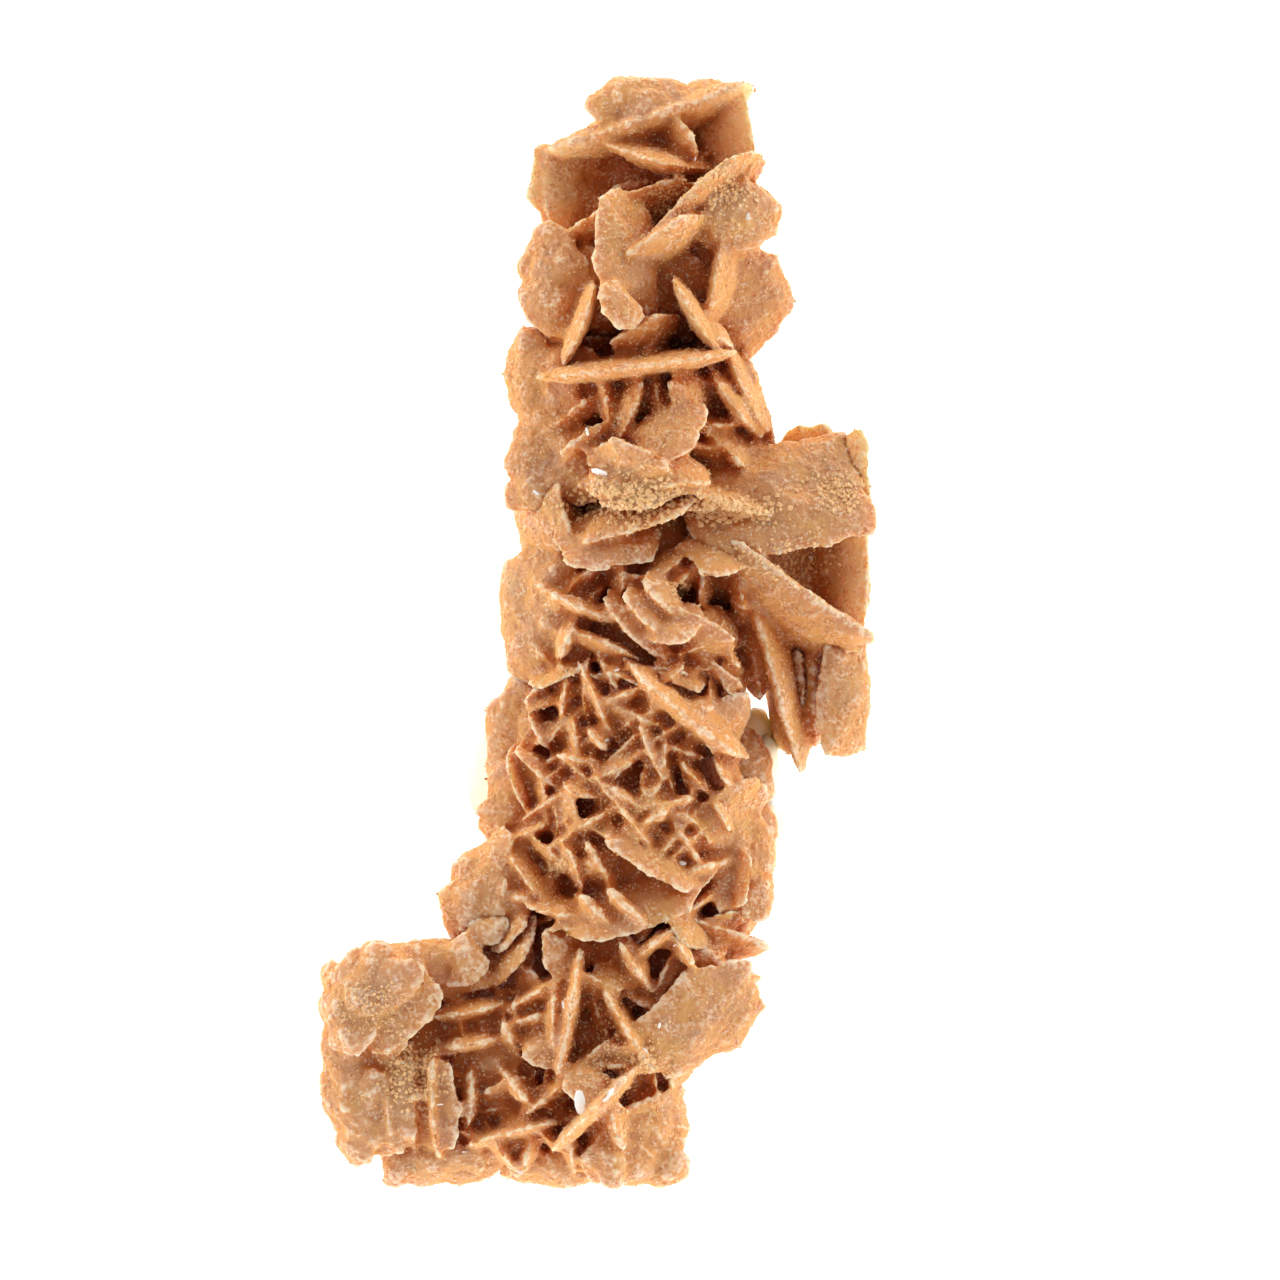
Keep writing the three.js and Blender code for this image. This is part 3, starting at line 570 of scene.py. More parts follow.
def corner_outline(chance, power):
    """The corners of a blade's outline, in order, on an uneven squared-up circle of radius one."""
    count = chance.randint(*CORNERS)
    corners = []
    for step in range(count):
        turn = (step + chance.uniform(-CORNER_SHIFT, CORNER_SHIFT)) * 2 * math.pi / count - math.pi
        reach = (abs(math.cos(turn)) ** power + abs(math.sin(turn)) ** power) ** (-1 / power)
        reach *= chance.uniform(*CORNER_REACH)
        corners.append((turn, Vector((math.cos(turn), math.sin(turn))) * reach))
    return corners


def straight_outline(chance):
    """Four corners near those of a square, for a plate with straight edges."""
    corners = []
    for place in STRAIGHT_CORNERS:
        turn = place * math.pi + chance.uniform(-STRAIGHT_SHIFT, STRAIGHT_SHIFT)
        reach = chance.uniform(*STRAIGHT_REACH)
        corners.append((turn, Vector((math.cos(turn), math.sin(turn))) * reach))
    return corners


def shift_inside(bm, chance):
    """Moves a whole blade back inside the solid's box, so that its rim isn't cut off there."""
    points = np.array([tuple(vertex.co) for vertex in bm.verts])
    sideways = [chance.uniform(*BOX_MARGIN_MM), chance.uniform(*BOX_MARGIN_MM)]
    spare = np.array([*sideways, BOX_MARGIN_MM[0]]) * MM
    lowest = np.array(stone_low) + spare
    highest = np.array(stone_high) - spare
    shift = np.maximum(lowest - points.min(axis=0), 0)
    shift += np.minimum(highest - points.max(axis=0), 0)
    shift[2] = min(shift[2], 0)
    bmesh.ops.translate(bm, verts=bm.verts, vec=Vector(shift))


def reach_at(corners, turn):
    """How far out the straight side between two corners is, in one direction."""
    after = next((k for k, (corner_turn, _) in enumerate(corners) if corner_turn > turn), 0)
    a, b = corners[after - 1][1], corners[after][1]
    side = b - a
    way = Vector((math.cos(turn), math.sin(turn)))
    return a.cross(side) / way.cross(side)


def add_blade(bm, spec, seed, fineness):
    chance = random.Random(seed)
    around, across = fineness
    lens = bmesh.new()
    bmesh.ops.create_uvsphere(lens, u_segments=around, v_segments=across, radius=1)
    half_length = (spec.end - spec.start).length / 2 + RIM_GROWN
    half_depth = spec.depth / 2 + RIM_GROWN
    half_thickness = spec.thickness / 2 * (SLIM_SWELL if spec.thickness < SLIM_BELOW else 1)
    waves = [(chance.choice(lobes), size, chance.uniform(0, 2 * math.pi))
             for lobes, size in SCALLOPS]
    bend = chance.uniform(-BEND, BEND) * half_length * 2
    upright = abs(spec.lean) <= UPRIGHT
    power = chance.uniform(*SQUARENESS_SPREAD) + (CREST_SQUARENESS if upright else FACE_SQUARENESS)
    if spec in round_edged:
        power = ROUND_SQUARENESS
    corners = straight_outline(chance) if spec in straight_edged else corner_outline(chance, power)
    sharpness = SLIM_SHARPNESS if spec.thickness < SLIM_BELOW else STOUT_SHARPNESS
    for point in lens.verts:
        turn = math.atan2(point.co.y, point.co.x)
        out = math.hypot(point.co.x, point.co.y)
        rim = reach_at(corners, turn)
        rim *= 1 + sum(size * math.sin(lobes * turn + phase) for lobes, size, phase in waves)
        rise = math.copysign(abs(point.co.z) ** sharpness, point.co.z) * half_thickness
        if not upright:
            spot = Vector((point.co.x * half_length, point.co.y * half_depth, seed)) / FACE_SWELLS
            rise += noise.noise(spot) * half_thickness * FACE_UNEVENNESS * (1 - out * out)
            round_place = Vector((math.cos(turn), math.sin(turn), seed)) * FACE_BREAKS_ROUND
            rim *= 1 + FACE_BREAKS * noise.noise(round_place)
        x = rim * out * math.cos(turn)
        y = rim * out * math.sin(turn)
        point.co = (x * half_length, y * half_depth, rise + bend * x * x)
    place = Matrix(axes_of(spec)).transposed().to_4x4()
    place.translation = centre_of(spec)
    bmesh.ops.transform(lens, matrix=place, verts=lens.verts)
    shift_inside(lens, chance)
    lens.to_mesh(one_blade)
    lens.free()
    bm.from_mesh(one_blade)


# %% [markdown]
# ## The stone's heart
#
# Deep inside, the blades have grown together into one mass. It has to be there, or light would
# fall through the gaps. Round lumps along the middle line are enough, because only their dark
# tops can be glimpsed at the bottom of a hollow.

# %% Add one lump of the heart
HEART_NARROWED = 0.95
HEART_WIDENED = 1.05


def add_lump(bm, lump):
    x, y, z, radius = (value * MM for value in lump[:4])
    radius *= HEART_NARROWED
    place = Matrix.Translation((x, y, z)) @ Matrix.Diagonal((HEART_WIDENED, 1, lump[4], 1))
    bmesh.ops.create_icosphere(bm, subdivisions=2, radius=radius, matrix=place)


# %% [markdown]
# ## Grow the blades together
#
# The crossing blades are still separate skins. A voxel remesh turns them into one skin. Swelling
# it, remeshing and shrinking it back closes the narrowest gaps, as sand does. Three displacements
# roughen it, from lumps down to grain, and a decimation spends the triangles where the surface
# bends. The whole stone at this fineness would be too heavy for one mesh, so it is grown in five
# lengths that reach into one another, as neighbouring blades do.

# %% Split the blades by place and fuse each length
VOXEL = 0.2 * MM
FILLET = 0.22 * MM
TRIANGLES = 168_000
LUMPS = (2.4 * MM, 0.45 * MM)
NODULES = (0.9 * MM, 0.26 * MM)
GRAIN = (0.45 * MM, 0.22 * MM)
LENGTHS = {
    "crown": (30.5, 99.0),
    "shoulder_and_neck": (13.0, 30.5),
    "boss_and_middle": (-5.0, 13.0),
    "net": (-29.0, -5.0),
    "ankle_and_foot": (-99.0, -29.0),
}
OVERLAP = 1.5


def belongs(y, limits, spare=0.0):
    return limits[0] - spare <= y / MM < limits[1] + spare


def clouds(name, size):
    pattern = bpy.data.textures.new(name, "CLOUDS")
    pattern.noise_scale = size
    pattern.noise_depth = 2
    return pattern


lump_pattern = clouds("stone_lumps", LUMPS[0])
nodule_pattern = clouds("stone_nodules", NODULES[0])
grain_pattern = clouds("stone_grain", GRAIN[0])


def evaluated_mesh(piece):
    graph = bpy.context.evaluated_depsgraph_get()
    return bpy.data.meshes.new_from_object(piece.evaluated_get(graph))


def displace(piece, name, pattern, strength):
    step = piece.modifiers.new(name, "DISPLACE")
    step.texture = pattern
    step.texture_coords = "LOCAL"
    step.strength = strength
    step.mid_level = 0.5


def voxel_remesh(piece, name):
    remesh = piece.modifiers.new(name, "REMESH")
    remesh.mode = "VOXEL"
    remesh.voxel_size = VOXEL


def swell(piece, name, distance):
    """Moves the whole skin out along its normals, or in where the distance is negative."""
    step = piece.modifiers.new(name, "DISPLACE")
    step.strength = distance
    step.mid_level = 0.0


def add_piece(name, bm):
    mesh = bpy.data.meshes.new(name)
    bm.to_mesh(mesh)
    bm.free()
    piece = bpy.data.objects.new(name, mesh)
    bpy.context.collection.objects.link(piece)
    return piece


def settle(piece):
    """Swaps a piece's live modifiers for the mesh that they give."""
    finished = evaluated_mesh(piece)
    piece.modifiers.clear()
    piece.data = finished


def fuse(name, limits):
    bm = bmesh.new()
    for lump in HEART:
        if belongs(lump[1] * MM, limits, OVERLAP):
            add_lump(bm, lump)
    every = [(spec, NAMED_FINENESS) for spec in named_blades + under_blades]
    every += [(spec, SMALL_FINENESS) for spec in small_blades + shingles]
    for seed, (spec, fineness) in enumerate(every):
        if belongs(centre_of(spec).y, limits):
            add_blade(bm, spec, seed, fineness)
    piece = add_piece(name, bm)
    voxel_remesh(piece, "grow together")
    swell(piece, "swell", FILLET)
    voxel_remesh(piece, "fill the narrow gaps")
    swell(piece, "shrink back", -FILLET)
    displace(piece, "lumps", lump_pattern, LUMPS[1])
    displace(piece, "nodules", nodule_pattern, NODULES[1])
    displace(piece, "grain", grain_pattern, GRAIN[1])
    settle(piece)
    quads = len(piece.data.polygons)
    thin_out = piece.modifiers.new("spend triangles well", "DECIMATE")
    thin_out.ratio = min(1.0, TRIANGLES / (2 * quads))
    thin_out.use_collapse_triangulate = True
    settle(piece)
    print(name, quads, "squares became", len(piece.data.polygons), "triangles")
    return piece


def keep_inside(piece):
    """Flattens the foot where it rests and holds every point inside the solid's box."""
    count = len(piece.data.vertices)
    points = np.empty(count * 3)
    piece.data.vertices.foreach_get("co", points)
    points = np.clip(points.reshape(-1, 3), np.array(stone_low), np.array(stone_high))
    piece.data.vertices.foreach_set("co", points.ravel())
    piece.data.update()


stone_pieces = [fuse(name, limits) for name, limits in LENGTHS.items()]
for piece in stone_pieces:
    keep_inside(piece)
    piece.data.shade_smooth()

# %% [markdown]
# ## What the finish has to know about the shape
#
# Painted shade darkens the hollows, and a painted highlight makes the rims pale. A material can't see
# where these go by itself in an exported model, so both are measured once and kept on the points of
# the mesh: how much of the sky a point can't see, and how sharply the surface bends out there. A third
# value says how thin the stone is where the light table is behind it, for a painted glow there.

# %% Measure the hollows with short rays
RAYS = 12
RAY_LENGTH = 9.0 * MM
RAY_START = 0.05 * MM
FAN_SPREAD = 0.92
LIGHT_SLOPES = (0.0, 0.8)
THICK = 5.0 * MM
OPEN_LENGTH = 14.0 * MM
HOLLOW_ROUNDS = 2
THIN_ROUNDS = 6
NORMAL_ROUNDS = 2
RIM_ROUNDS = 10
RIM_HEIGHT = 0.35 * MM


def joined_tree(pieces):
    points = []
    faces = []
    for piece in pieces:
        first = len(points)
        points += [vertex.co.copy() for vertex in piece.data.vertices]
        faces += [[first + corner for corner in face.vertices] for face in piece.data.polygons]
    return BVHTree.FromPolygons(points, faces)


def ray_fan(count):
    """Directions spread evenly over a half sphere round +Z."""
    golden = math.pi * (3 - math.sqrt(5))
    fan = []
    for step in range(count):
        height = 1 - (step + 0.5) / count * FAN_SPREAD
        out = math.sqrt(1 - height * height)
        fan.append(Vector((out * math.cos(golden * step), out * math.sin(golden * step), height)))
    return fan


def hollowness(piece, tree):
    fan = ray_fan(RAYS)
    values = np.empty(len(piece.data.vertices), np.float32)
    up = Vector((0, 0, 1))
    for index, vertex in enumerate(piece.data.vertices):
        turn = up.rotation_difference(vertex.normal)
        start = vertex.co + vertex.normal * RAY_START
        total = 0.0
        for ray in fan:
            distance = tree.ray_cast(start, turn @ ray, RAY_LENGTH)[3]
            if distance is not None:
                total += 1 - distance / RAY_LENGTH
        values[index] = total / RAYS
    return values


def evened_out(mesh, values, rounds):
    """Each point's value, averaged with its neighbours' as many times as asked."""
    ends = np.empty(len(mesh.edges) * 2, np.int64)
    mesh.edges.foreach_get("vertices", ends)
    ends = ends.reshape(-1, 2)
    links = np.bincount(ends.ravel(), minlength=len(values))
    for _ in range(rounds):
        columns = []
        for column in np.atleast_2d(values.T):
            total = column + np.bincount(ends[:, 0], column[ends[:, 1]], len(column))
            total += np.bincount(ends[:, 1], column[ends[:, 0]], len(column))
            columns.append(total / (links + 1))
        values = np.squeeze(np.array(columns).T)
    return values


def read_points(mesh, what):
    values = np.empty(len(mesh.vertices) * 3)
    mesh.vertices.foreach_get(what, values)
    return values.reshape(-1, 3)


def rim_sharpness(piece, rounds):
    """How far each point stands out from the middle of those around it, along its normal."""
    points = read_points(piece.data, "co")
    normals = evened_out(piece.data, read_points(piece.data, "normal"), NORMAL_ROUNDS)
    return ((points - evened_out(piece.data, points, rounds)) * normals).sum(axis=1)


def keep_on_points(piece, name, values):
    layer = piece.data.attributes.new(name, "FLOAT", "POINT")
    layer.data.foreach_set("value", values.astype(np.float32))


def thinness(piece, tree):
    """How little stone lies behind each point, counted only where the light table is behind it."""
    values = np.zeros(len(piece.data.vertices), np.float32)
    for index, vertex in enumerate(piece.data.vertices):
        for slope in LIGHT_SLOPES:
            way = (Vector((0, 0, -slope)) - vertex.normal).normalized()
            exit_at = tree.ray_cast(vertex.co + way * RAY_START, way, THICK)
            if exit_at[3] is None:
                continue
            outside = exit_at[0] + way * RAY_START
            if tree.ray_cast(outside, way, OPEN_LENGTH)[3] is None:
                values[index] += (1 - exit_at[3] / THICK) / len(LIGHT_SLOPES)
    return values


tree = joined_tree(stone_pieces)
for piece in stone_pieces:
    hollow = evened_out(piece.data, hollowness(piece, tree), HOLLOW_ROUNDS)
    rim = np.clip(rim_sharpness(piece, RIM_ROUNDS) / RIM_HEIGHT, -1, 1)
    thin = evened_out(piece.data, thinness(piece, tree), THIN_ROUNDS)
    keep_on_points(piece, "thin", thin)
    keep_on_points(piece, "hollow", hollow)
    keep_on_points(piece, "rim", rim)
    print(piece.name, "hollow", hollow.mean().round(2), "thin", thin.mean().round(3))

# %% [markdown]
# ## The finish of the gypsum
#
# The crystal itself is pale and lets light in, and sand and iron rust colour it peach on the flanks,
# with ochre and mauve patches and a sandy grain. Painted light is laid over that: a greyish painted
# shade on the flat faces that look up, burnt orange and near black painted shade in the hollows, a
# cream painted highlight on the rims, a painted glow where the stone is thin over the light table, and
# small white painted glints. Layers of mixes do this, each driven by a measured value or by a noise
# pattern, and light that goes under the surface makes the thin rims glow as well.

# %% Build the gypsum material
PEACH = (0.78, 0.36, 0.105, 1)
# Painted shade: the greyish colour laid on the faces that look up.
GREYISH_SHADE = (0.62, 0.325, 0.165, 1)
# The rust colour of the sand grain, and also painted shade in the hollows.
RUST_AND_SHADE = (0.54, 0.145, 0.018, 1)
# Painted shade, near black, deep in the hollows.
DEEP_SHADE = (0.34, 0.05, 0.006, 1)
# The cream of the sand grain, and also a painted highlight on the rims.
CREAM_AND_HIGHLIGHT = (0.97, 0.80, 0.61, 1)
OCHRE = (0.76, 0.41, 0.12, 1)
MAUVE = (0.58, 0.32, 0.20, 1)
# Painted glow of light coming through the stone where it is thin.
PAINTED_GLOW = (0.98, 0.66, 0.30, 1)
# Painted glints: small white spots in the colour.
PAINTED_GLINT = (1.0, 0.97, 0.92, 1)


def set_sockets(node, values):
    """Sets some of a node's sockets, each by its name."""
    for name, value in values.items():
        node.inputs[name].default_value = value


def new_material(name):
    material = bpy.data.materials.new(name)
    material.use_nodes = True
    nodes = material.node_tree.nodes
    return material, nodes, material.node_tree.links, nodes["Principled BSDF"]


def mix_colour(nodes, links, factor, under, over):
    mix = nodes.new("ShaderNodeMix")
    mix.data_type = "RGBA"
    links.new(factor, mix.inputs["Factor"])
    for socket, value in ((mix.inputs[6], under), (mix.inputs[7], over)):
        if isinstance(value, tuple):
            socket.default_value = value
        else:
            links.new(value, socket)
    return mix.outputs[2]


def ramp(nodes, links, value, low, high, strength):
    """Turns a value into a share that rises from 0 at low to strength at high."""
    step = nodes.new("ShaderNodeMapRange")
    step.interpolation_type = "SMOOTHSTEP"
    set_sockets(step, {"From Min": low, "From Max": high, "To Max": strength})
    links.new(value, step.inputs["Value"])
    return step.outputs["Result"]


def cloud(nodes, links, where, size, detail=3.0):
    pattern = nodes.new("ShaderNodeTexNoise")
    set_sockets(pattern, {"Scale": 1 / size, "Detail": detail})
    links.new(where, pattern.inputs["Vector"])
    return pattern.outputs["Fac"]


def attribute(nodes, name):
    node = nodes.new("ShaderNodeAttribute")
    node.attribute_name = name
    return node.outputs["Fac"]


def times(nodes, links, one, other):
    product = nodes.new("ShaderNodeMath")
    product.operation = "MULTIPLY"
    links.new(one, product.inputs[0])
    links.new(other, product.inputs[1])
    return product.outputs[0]


def gypsum_material():
    material, nodes, links, shader = new_material("sandy_gypsum")
    where = nodes.new("ShaderNodeTexCoord").outputs["Object"]
    broad = cloud(nodes, links, where, 14 * MM)
    patches = cloud(nodes, links, where, 3 * MM)
    sandy = cloud(nodes, links, where, 1.6 * MM)
    grain = cloud(nodes, links, where, 0.34 * MM, 2.0)
    sparks = cloud(nodes, links, where, 0.22 * MM, 1.0)
    hollow = attribute(nodes, "hollow")
    rim = attribute(nodes, "rim")
    upward = nodes.new("ShaderNodeSeparateXYZ")
    links.new(nodes.new("ShaderNodeNewGeometry").outputs["Normal"], upward.inputs["Vector"])

    def share(value, low, high, strength):
        return ramp(nodes, links, value, low, high, strength)

    sand = share(sandy, 0.40, 0.62, 1.0)
    layers = [
        # A greyish painted shade on the faces that look up.
        (share(upward.outputs["Z"], 0.45, 0.98, 0.7), GREYISH_SHADE),
        (share(broad, 0.42, 0.62, 0.5), PEACH),
        (share(patches, 0.50, 0.70, 0.6), OCHRE),
        (share(patches, 0.46, 0.32, 0.5), MAUVE),
        # Painted shade in the hollows: burnt orange, then near black deeper in.
        (share(hollow, 0.22, 0.56, 0.95), RUST_AND_SHADE),
        (share(hollow, 0.52, 0.86, 0.92), DEEP_SHADE),
        # A painted glow where the stone is thin over the light table.
        (share(attribute(nodes, "thin"), 0.08, 0.55, 0.85), PAINTED_GLOW),
        # A cream painted highlight on the sharp rims.
        (share(rim, 0.16, 0.75, 0.78), CREAM_AND_HIGHLIGHT),
        (times(nodes, links, sand, share(grain, 0.50, 0.70, 0.6)), CREAM_AND_HIGHLIGHT),
        (times(nodes, links, sand, share(grain, 0.50, 0.30, 0.6)), RUST_AND_SHADE),
        # Small white painted glints.
        (share(sparks, 0.70, 0.76, 0.8), PAINTED_GLINT),
    ]
    colour = PEACH
    for factor, over in layers:
        colour = mix_colour(nodes, links, factor, colour, over)
    links.new(colour, shader.inputs["Base Color"])
    links.new(share(sparks, 0.72, 0.60, 0.72), shader.inputs["Roughness"])
    set_sockets(shader, {"Subsurface Weight": 0.6, "Subsurface Radius": (1.0, 0.55, 0.26),
                         "Subsurface Scale": 1.8 * MM})
    bump = nodes.new("ShaderNodeBump")
    set_sockets(bump, {"Strength": 0.75, "Distance": 0.25 * MM})
    links.new(grain, bump.inputs["Height"])
    links.new(bump.outputs["Normal"], shader.inputs["Normal"])
    return material


def finish_piece(piece, material):
    """Gives a piece its material, and puts it in the solid's place."""
    piece.data.materials.append(material)
    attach(piece, "root")
    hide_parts("desert_rose")


gypsum = gypsum_material()
for piece in stone_pieces:
    finish_piece(piece, gypsum)

# %% [markdown]
# ## Sugar, flakes and pale crystals
#
# Three small things catch the eye on the real piece. Sand grains and gypsum sugar sit on every face,
# thickest on a few crusts and nodules. Here and there a clean flake flashes white; the flakes made
# here are white in colour, partly clean gypsum and partly a painted glint. And low down, at the
# outline, a few crystals without sand in them are nearly clear. The grains are far too many for
# separate objects, so one eight-sided grain is repeated into a single mesh.

# %% Find places on the stone from above
# The flakes' white is partly clean gypsum and partly a painted glint.
WHITE_FLAKE_AND_GLINT = (1.0, 0.98, 0.95, 1)
SUGAR = (0.90, 0.58, 0.28, 1)
DROP_FROM = 40 * MM


def on_top(x, y):
    """The point and the normal of the stone under a place given in millimetres, or None."""
    start = Vector((x * MM, y * MM, DROP_FROM))
    point, normal, _, distance = tree.ray_cast(start, Vector((0, 0, -1)))
    if distance is None:
        return None
    return point, (normal if normal.z > 0 else -normal)


def plain_material(name, colour, roughness, depth):
    """An even crystal into which light goes as deep as given, in metres."""
    material, _, _, shader = new_material(name)
    set_sockets(shader, {
        "Base Color": colour,
        "Roughness": roughness,
        "Subsurface Weight": 1.0 if depth else 0.0,
        "Subsurface Radius": (1.0, 0.7, 0.45),
        "Subsurface Scale": depth,
    })
    return material


# %% Strew the grains
# Each crust: its middle, its width and height, how many grains, and the largest half size.
CRUSTS = [
    (3.5, 13.0, 6.0, 2.4, 420, 0.42), (13.5, 12.4, 4.5, 1.5, 260, 0.46),
    (12.6, 44.6, 2.6, 3.2, 200, 0.34), (23.6, 14.2, 3.0, 2.0, 160, 0.34),
    (7.4, 43.0, 3.4, 2.2, 260, 0.22), (8.3, 4.4, 0.9, 0.9, 40, 0.42),
    (-3.7, -23.1, 0.9, 0.9, 55, 0.46), (-18.0, -43.5, 3.4, 4.0, 320, 0.30),
    (4.4, -42.0, 1.2, 1.4, 60, 0.44), (19.0, 7.2, 4.8, 2.2, 220, 0.30),
    (-22.5, -36.5, 4.0, 3.0, 240, 0.24), (1.0, -16.0, 7.0, 12.0, 500, 0.20),
    (0.0, -42.0, 7.0, 8.0, 500, 0.22), (5.0, 22.0, 8.0, 7.0, 400, 0.20),
    (5.0, 40.0, 8.0, 9.0, 500, 0.18),
]
CRUST_GRAIN = (0.35, 1.0)
SINGLE_GRAINS = 6500
SINGLE_SIZE = (0.09, 0.17)
PROUD = 0.2
FACING_FROM = -0.2
GRAIN_STRETCH = (0.7, 1.2)
GRAIN_SEED = 23
GRAIN_CORNERS = np.array([(1, 0, 0), (-1, 0, 0), (0, 1, 0),
                          (0, -1, 0), (0, 0, 1), (0, 0, -1)], float)
GRAIN_FACES = np.array([(0, 2, 4), (2, 1, 4), (1, 3, 4), (3, 0, 4),
                        (2, 0, 5), (1, 2, 5), (3, 1, 5), (0, 3, 5)])


def grain_places():
    """Each grain's middle and half size, in metres."""
    dice = random.Random(GRAIN_SEED)
    for x, y, wide, high, count, size in CRUSTS:
        for _ in range(count):
            found = on_top(dice.gauss(x, wide / 2), dice.gauss(y, high / 2))
            if found:
                half = size * dice.uniform(*CRUST_GRAIN) * MM
                yield found[0], half
    bare = [(vertex.co.copy(), vertex.normal.copy()) for piece in stone_pieces
            for vertex in piece.data.vertices if vertex.normal.z > FACING_FROM]
    for point, normal in dice.sample(bare, SINGLE_GRAINS):
        half = dice.uniform(*SINGLE_SIZE) * MM
        yield point + normal * half * PROUD, half


def strew_grains():
    dice = random.Random(GRAIN_SEED + 1)
    points = []
    faces = []
    for middle, half in grain_places():
        turn = Quaternion([dice.gauss(0, 1) for _ in range(4)]).normalized()
        shape = GRAIN_CORNERS * [dice.uniform(*GRAIN_STRETCH) for _ in range(3)] * half
        faces.append(GRAIN_FACES + 6 * len(points))
        points.append(shape @ np.array(turn.to_matrix()) + np.array(middle))
    mesh = bpy.data.meshes.new("sugar_grains")
    places = np.clip(np.concatenate(points), np.array(stone_low), np.array(stone_high))
    mesh.from_pydata(places.tolist(), [], np.concatenate(faces).tolist())
    piece = bpy.data.objects.new("sugar_grains", mesh)
    bpy.context.collection.objects.link(piece)
    print(len(points), "grains")
    return piece


finish_piece(strew_grains(), plain_material("gypsum_sugar", SUGAR, 0.35, 0.0))

# %% Set the flakes that flash, each by its place and its size
FLAKES = [
    (1.0, -10.6, 1.9), (-1.6, -46.0, 3.2), (1.2, -45.2, 2.0), (4.8, -41.1, 1.0), (-3.2, -36.6, 1.0),
    (-15.7, -46.6, 1.5), (-13.2, -51.6, 1.3), (-0.9, 19.9, 1.0), (0.3, 15.9, 2.2), (21.5, 7.5, 1.0),
    (21.5, 8.1, 0.8), (8.3, -22.6, 1.4), (7.8, -30.6, 1.2), (-7.7, -53.6, 1.2), (14.9, 41.2, 1.6),
    (6.2, -38.6, 0.9), (11.0, 26.2, 0.7), (-6.0, 14.0, 0.9), (9.8, 47.2, 0.8), (2.0, -3.6, 0.8),
]
FLAKE_SEED = 31
FLAKE_RISE = 0.4
FLAKE_HALF_THICKNESS = 0.1


def set_flakes():
    dice = random.Random(FLAKE_SEED)
    bm = bmesh.new()
    for x, y, size in FLAKES:
        found = on_top(x, y)
        if found:
            way = Vector((dice.gauss(0, 1), dice.gauss(0, 1), FLAKE_RISE))
            tilt = found[1].orthogonal().rotation_difference(way)
            place = Matrix.Translation(found[0] + Vector((0, 0, 0.1 * MM))) @ tilt.to_matrix().to_4x4()
            place = place @ Matrix.Diagonal((size / 2, size / 5, FLAKE_HALF_THICKNESS, 1))
            bmesh.ops.create_icosphere(bm, subdivisions=1, radius=MM, matrix=place)
    return add_piece("flakes", bm)


flakes = set_flakes()
keep_inside(flakes)
# White flakes: partly clean gypsum, partly a painted glint.
finish_piece(flakes, plain_material("clean_gypsum_and_glint", WHITE_FLAKE_AND_GLINT, 0.2, 0.0))

# %% Grow the pale crystals at the outline
PALE = [
    blade((15.4, -11.0, 9.0), (15.2, -18.0, 8.0), 6, 30, 2.6),
    blade((15.6, -17.0, 8.0), (15.0, -25.5, 7.0), 6, 34, 3.0),
    blade((-8.6, -10.5, 8.0), (-10.6, -18.5, 7.5), 6, -34, 2.8),
    blade((-16.0, -53.4, 6.5), (-19.6, -52.4, 6.5), 5, 20, 3.0),
    blade((-14.0, -54.0, 6.0), (-17.0, -54.2, 6.0), 5, 16, 2.4),
    blade((14.6, -8.0, 8.0), (15.4, -12.0, 8.0), 6, 26, 2.2),
]
PALE_COLOUR = (1.0, 0.90, 0.70, 1)


def grow_pale_crystals():
    bm = bmesh.new()
    for seed, spec in enumerate(PALE):
        add_blade(bm, spec, seed, NAMED_FINENESS)
    return add_piece("pale_crystals", bm)


pale_crystals = grow_pale_crystals()
keep_inside(pale_crystals)
pale_crystals.data.shade_smooth()
bpy.data.meshes.remove(one_blade)
finish_piece(pale_crystals, plain_material("pale_gypsum", PALE_COLOUR, 0.35, 2 * MM))

# %% [markdown]
# ## Floor, light and camera
#
# The piece lies on a white light table in a white tent: most of the light comes from the sides
# and some from below, so the thin rims at the outline glow and the faces that look up are the
# duller ones. The floor gives off light of its own, and the tent is brighter low down than
# overhead. The camera looks straight down.

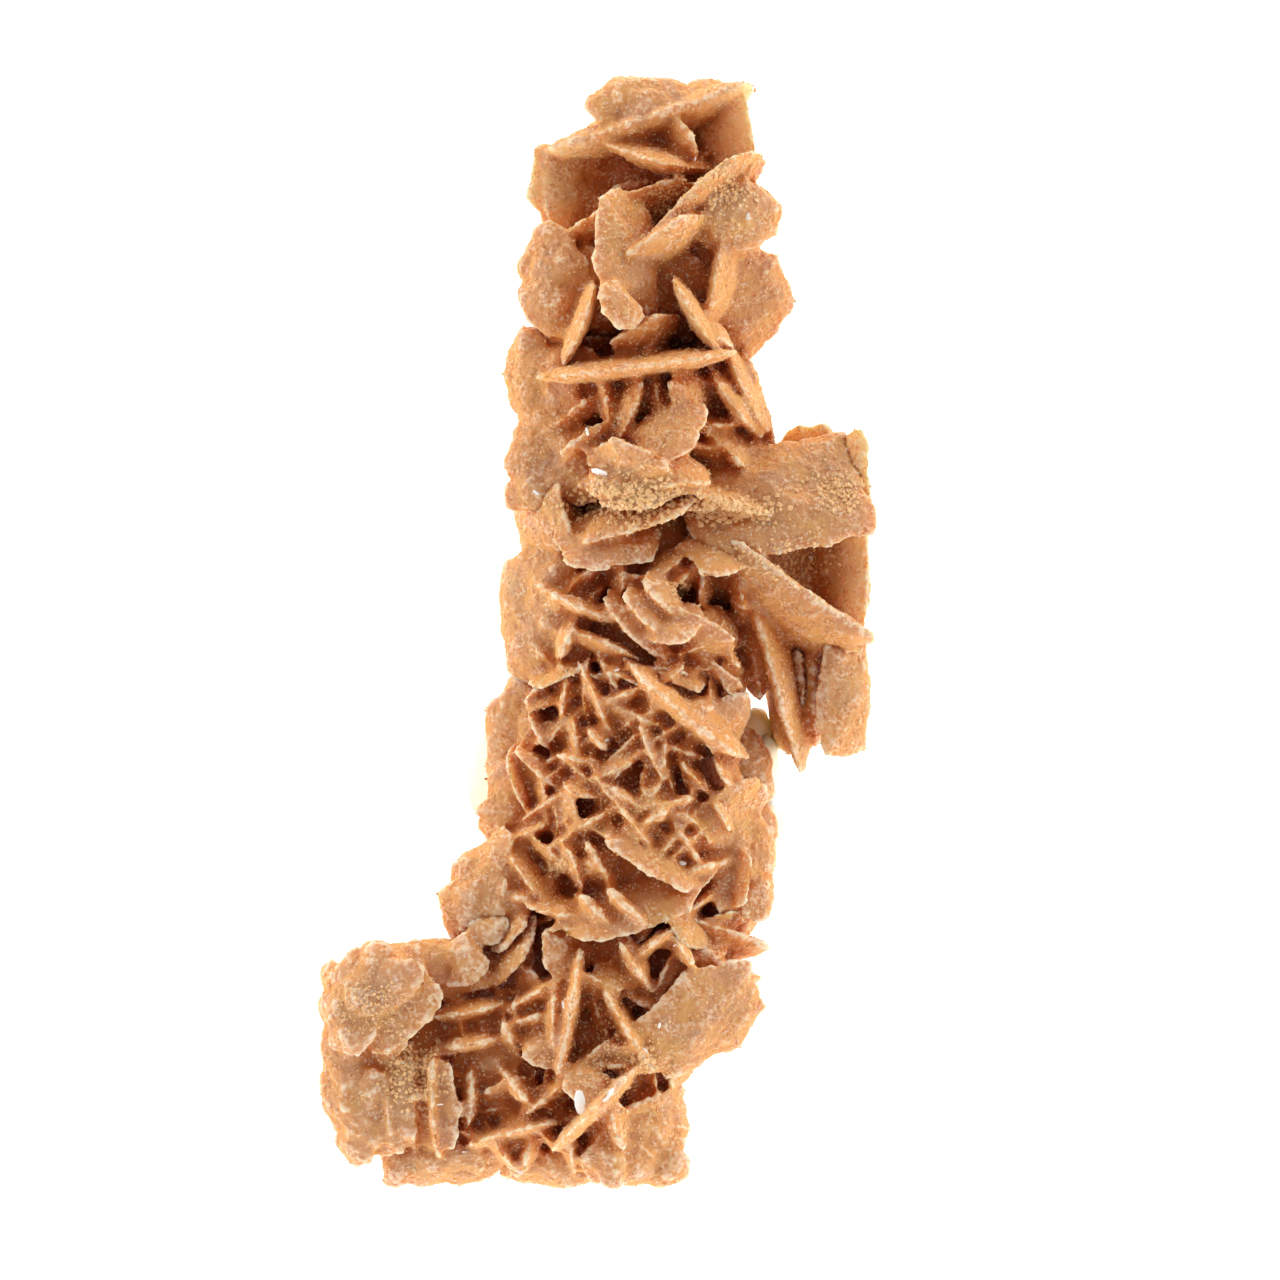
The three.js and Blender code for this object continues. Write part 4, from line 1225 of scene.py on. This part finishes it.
# %% Lay the floor
FLOOR_SIZE = 1.2
FLOOR_GLOW = 0.8


def lay_floor():
    bm = bmesh.new()
    bmesh.ops.create_grid(bm, x_segments=1, y_segments=1, size=FLOOR_SIZE / 2)
    bmesh.ops.translate(bm, verts=bm.verts, vec=(0, 0, -0.02 * MM))
    floor = add_piece("light_table", bm)
    material, _, _, shader = new_material("white_table")
    set_sockets(shader, {
        "Base Color": (0.9, 0.9, 0.9, 1),
        "Roughness": 0.9,
        "Emission Color": (1, 1, 1, 1),
        "Emission Strength": FLOOR_GLOW,
    })
    floor.data.materials.append(material)


lay_floor()

# %% Light the tent
TENT_LOW = 2.8
TENT_TOP = 0.35
TENT_FADE = (0.05, 0.8)
TENT_COLOUR = (1.0, 0.99, 0.975, 1)


def light_tent():
    world = bpy.data.worlds.new("tent")
    world.use_nodes = True
    nodes = world.node_tree.nodes
    links = world.node_tree.links
    direction = nodes.new("ShaderNodeSeparateXYZ")
    links.new(nodes.new("ShaderNodeTexCoord").outputs["Generated"], direction.inputs["Vector"])
    height = nodes.new("ShaderNodeMapRange")
    set_sockets(height, {"From Min": TENT_FADE[0], "From Max": TENT_FADE[1],
                         "To Min": TENT_LOW, "To Max": TENT_TOP})
    links.new(direction.outputs["Z"], height.inputs["Value"])
    background = nodes["Background"]
    set_sockets(background, {"Color": TENT_COLOUR})
    links.new(height.outputs["Result"], background.inputs["Strength"])
    bpy.context.scene.world = world


light_tent()
bpy.context.scene.view_settings.view_transform = "Standard"

# %% Aim the camera
VIEW_WIDTH = 128 * MM
VIEW_HEIGHT = 15 * MM
LENS = 135
SENSOR = 36
VIEW_MIDDLE = (4.3 * MM, -0.6 * MM)

camera_data = bpy.data.cameras.new("camera")
camera_data.lens = LENS
camera_data.sensor_width = SENSOR
camera_data.clip_start = 0.01
camera = bpy.data.objects.new("camera", camera_data)
camera.location = (*VIEW_MIDDLE, VIEW_HEIGHT + VIEW_WIDTH * LENS / SENSOR)
bpy.context.collection.objects.link(camera)
bpy.context.scene.camera = camera
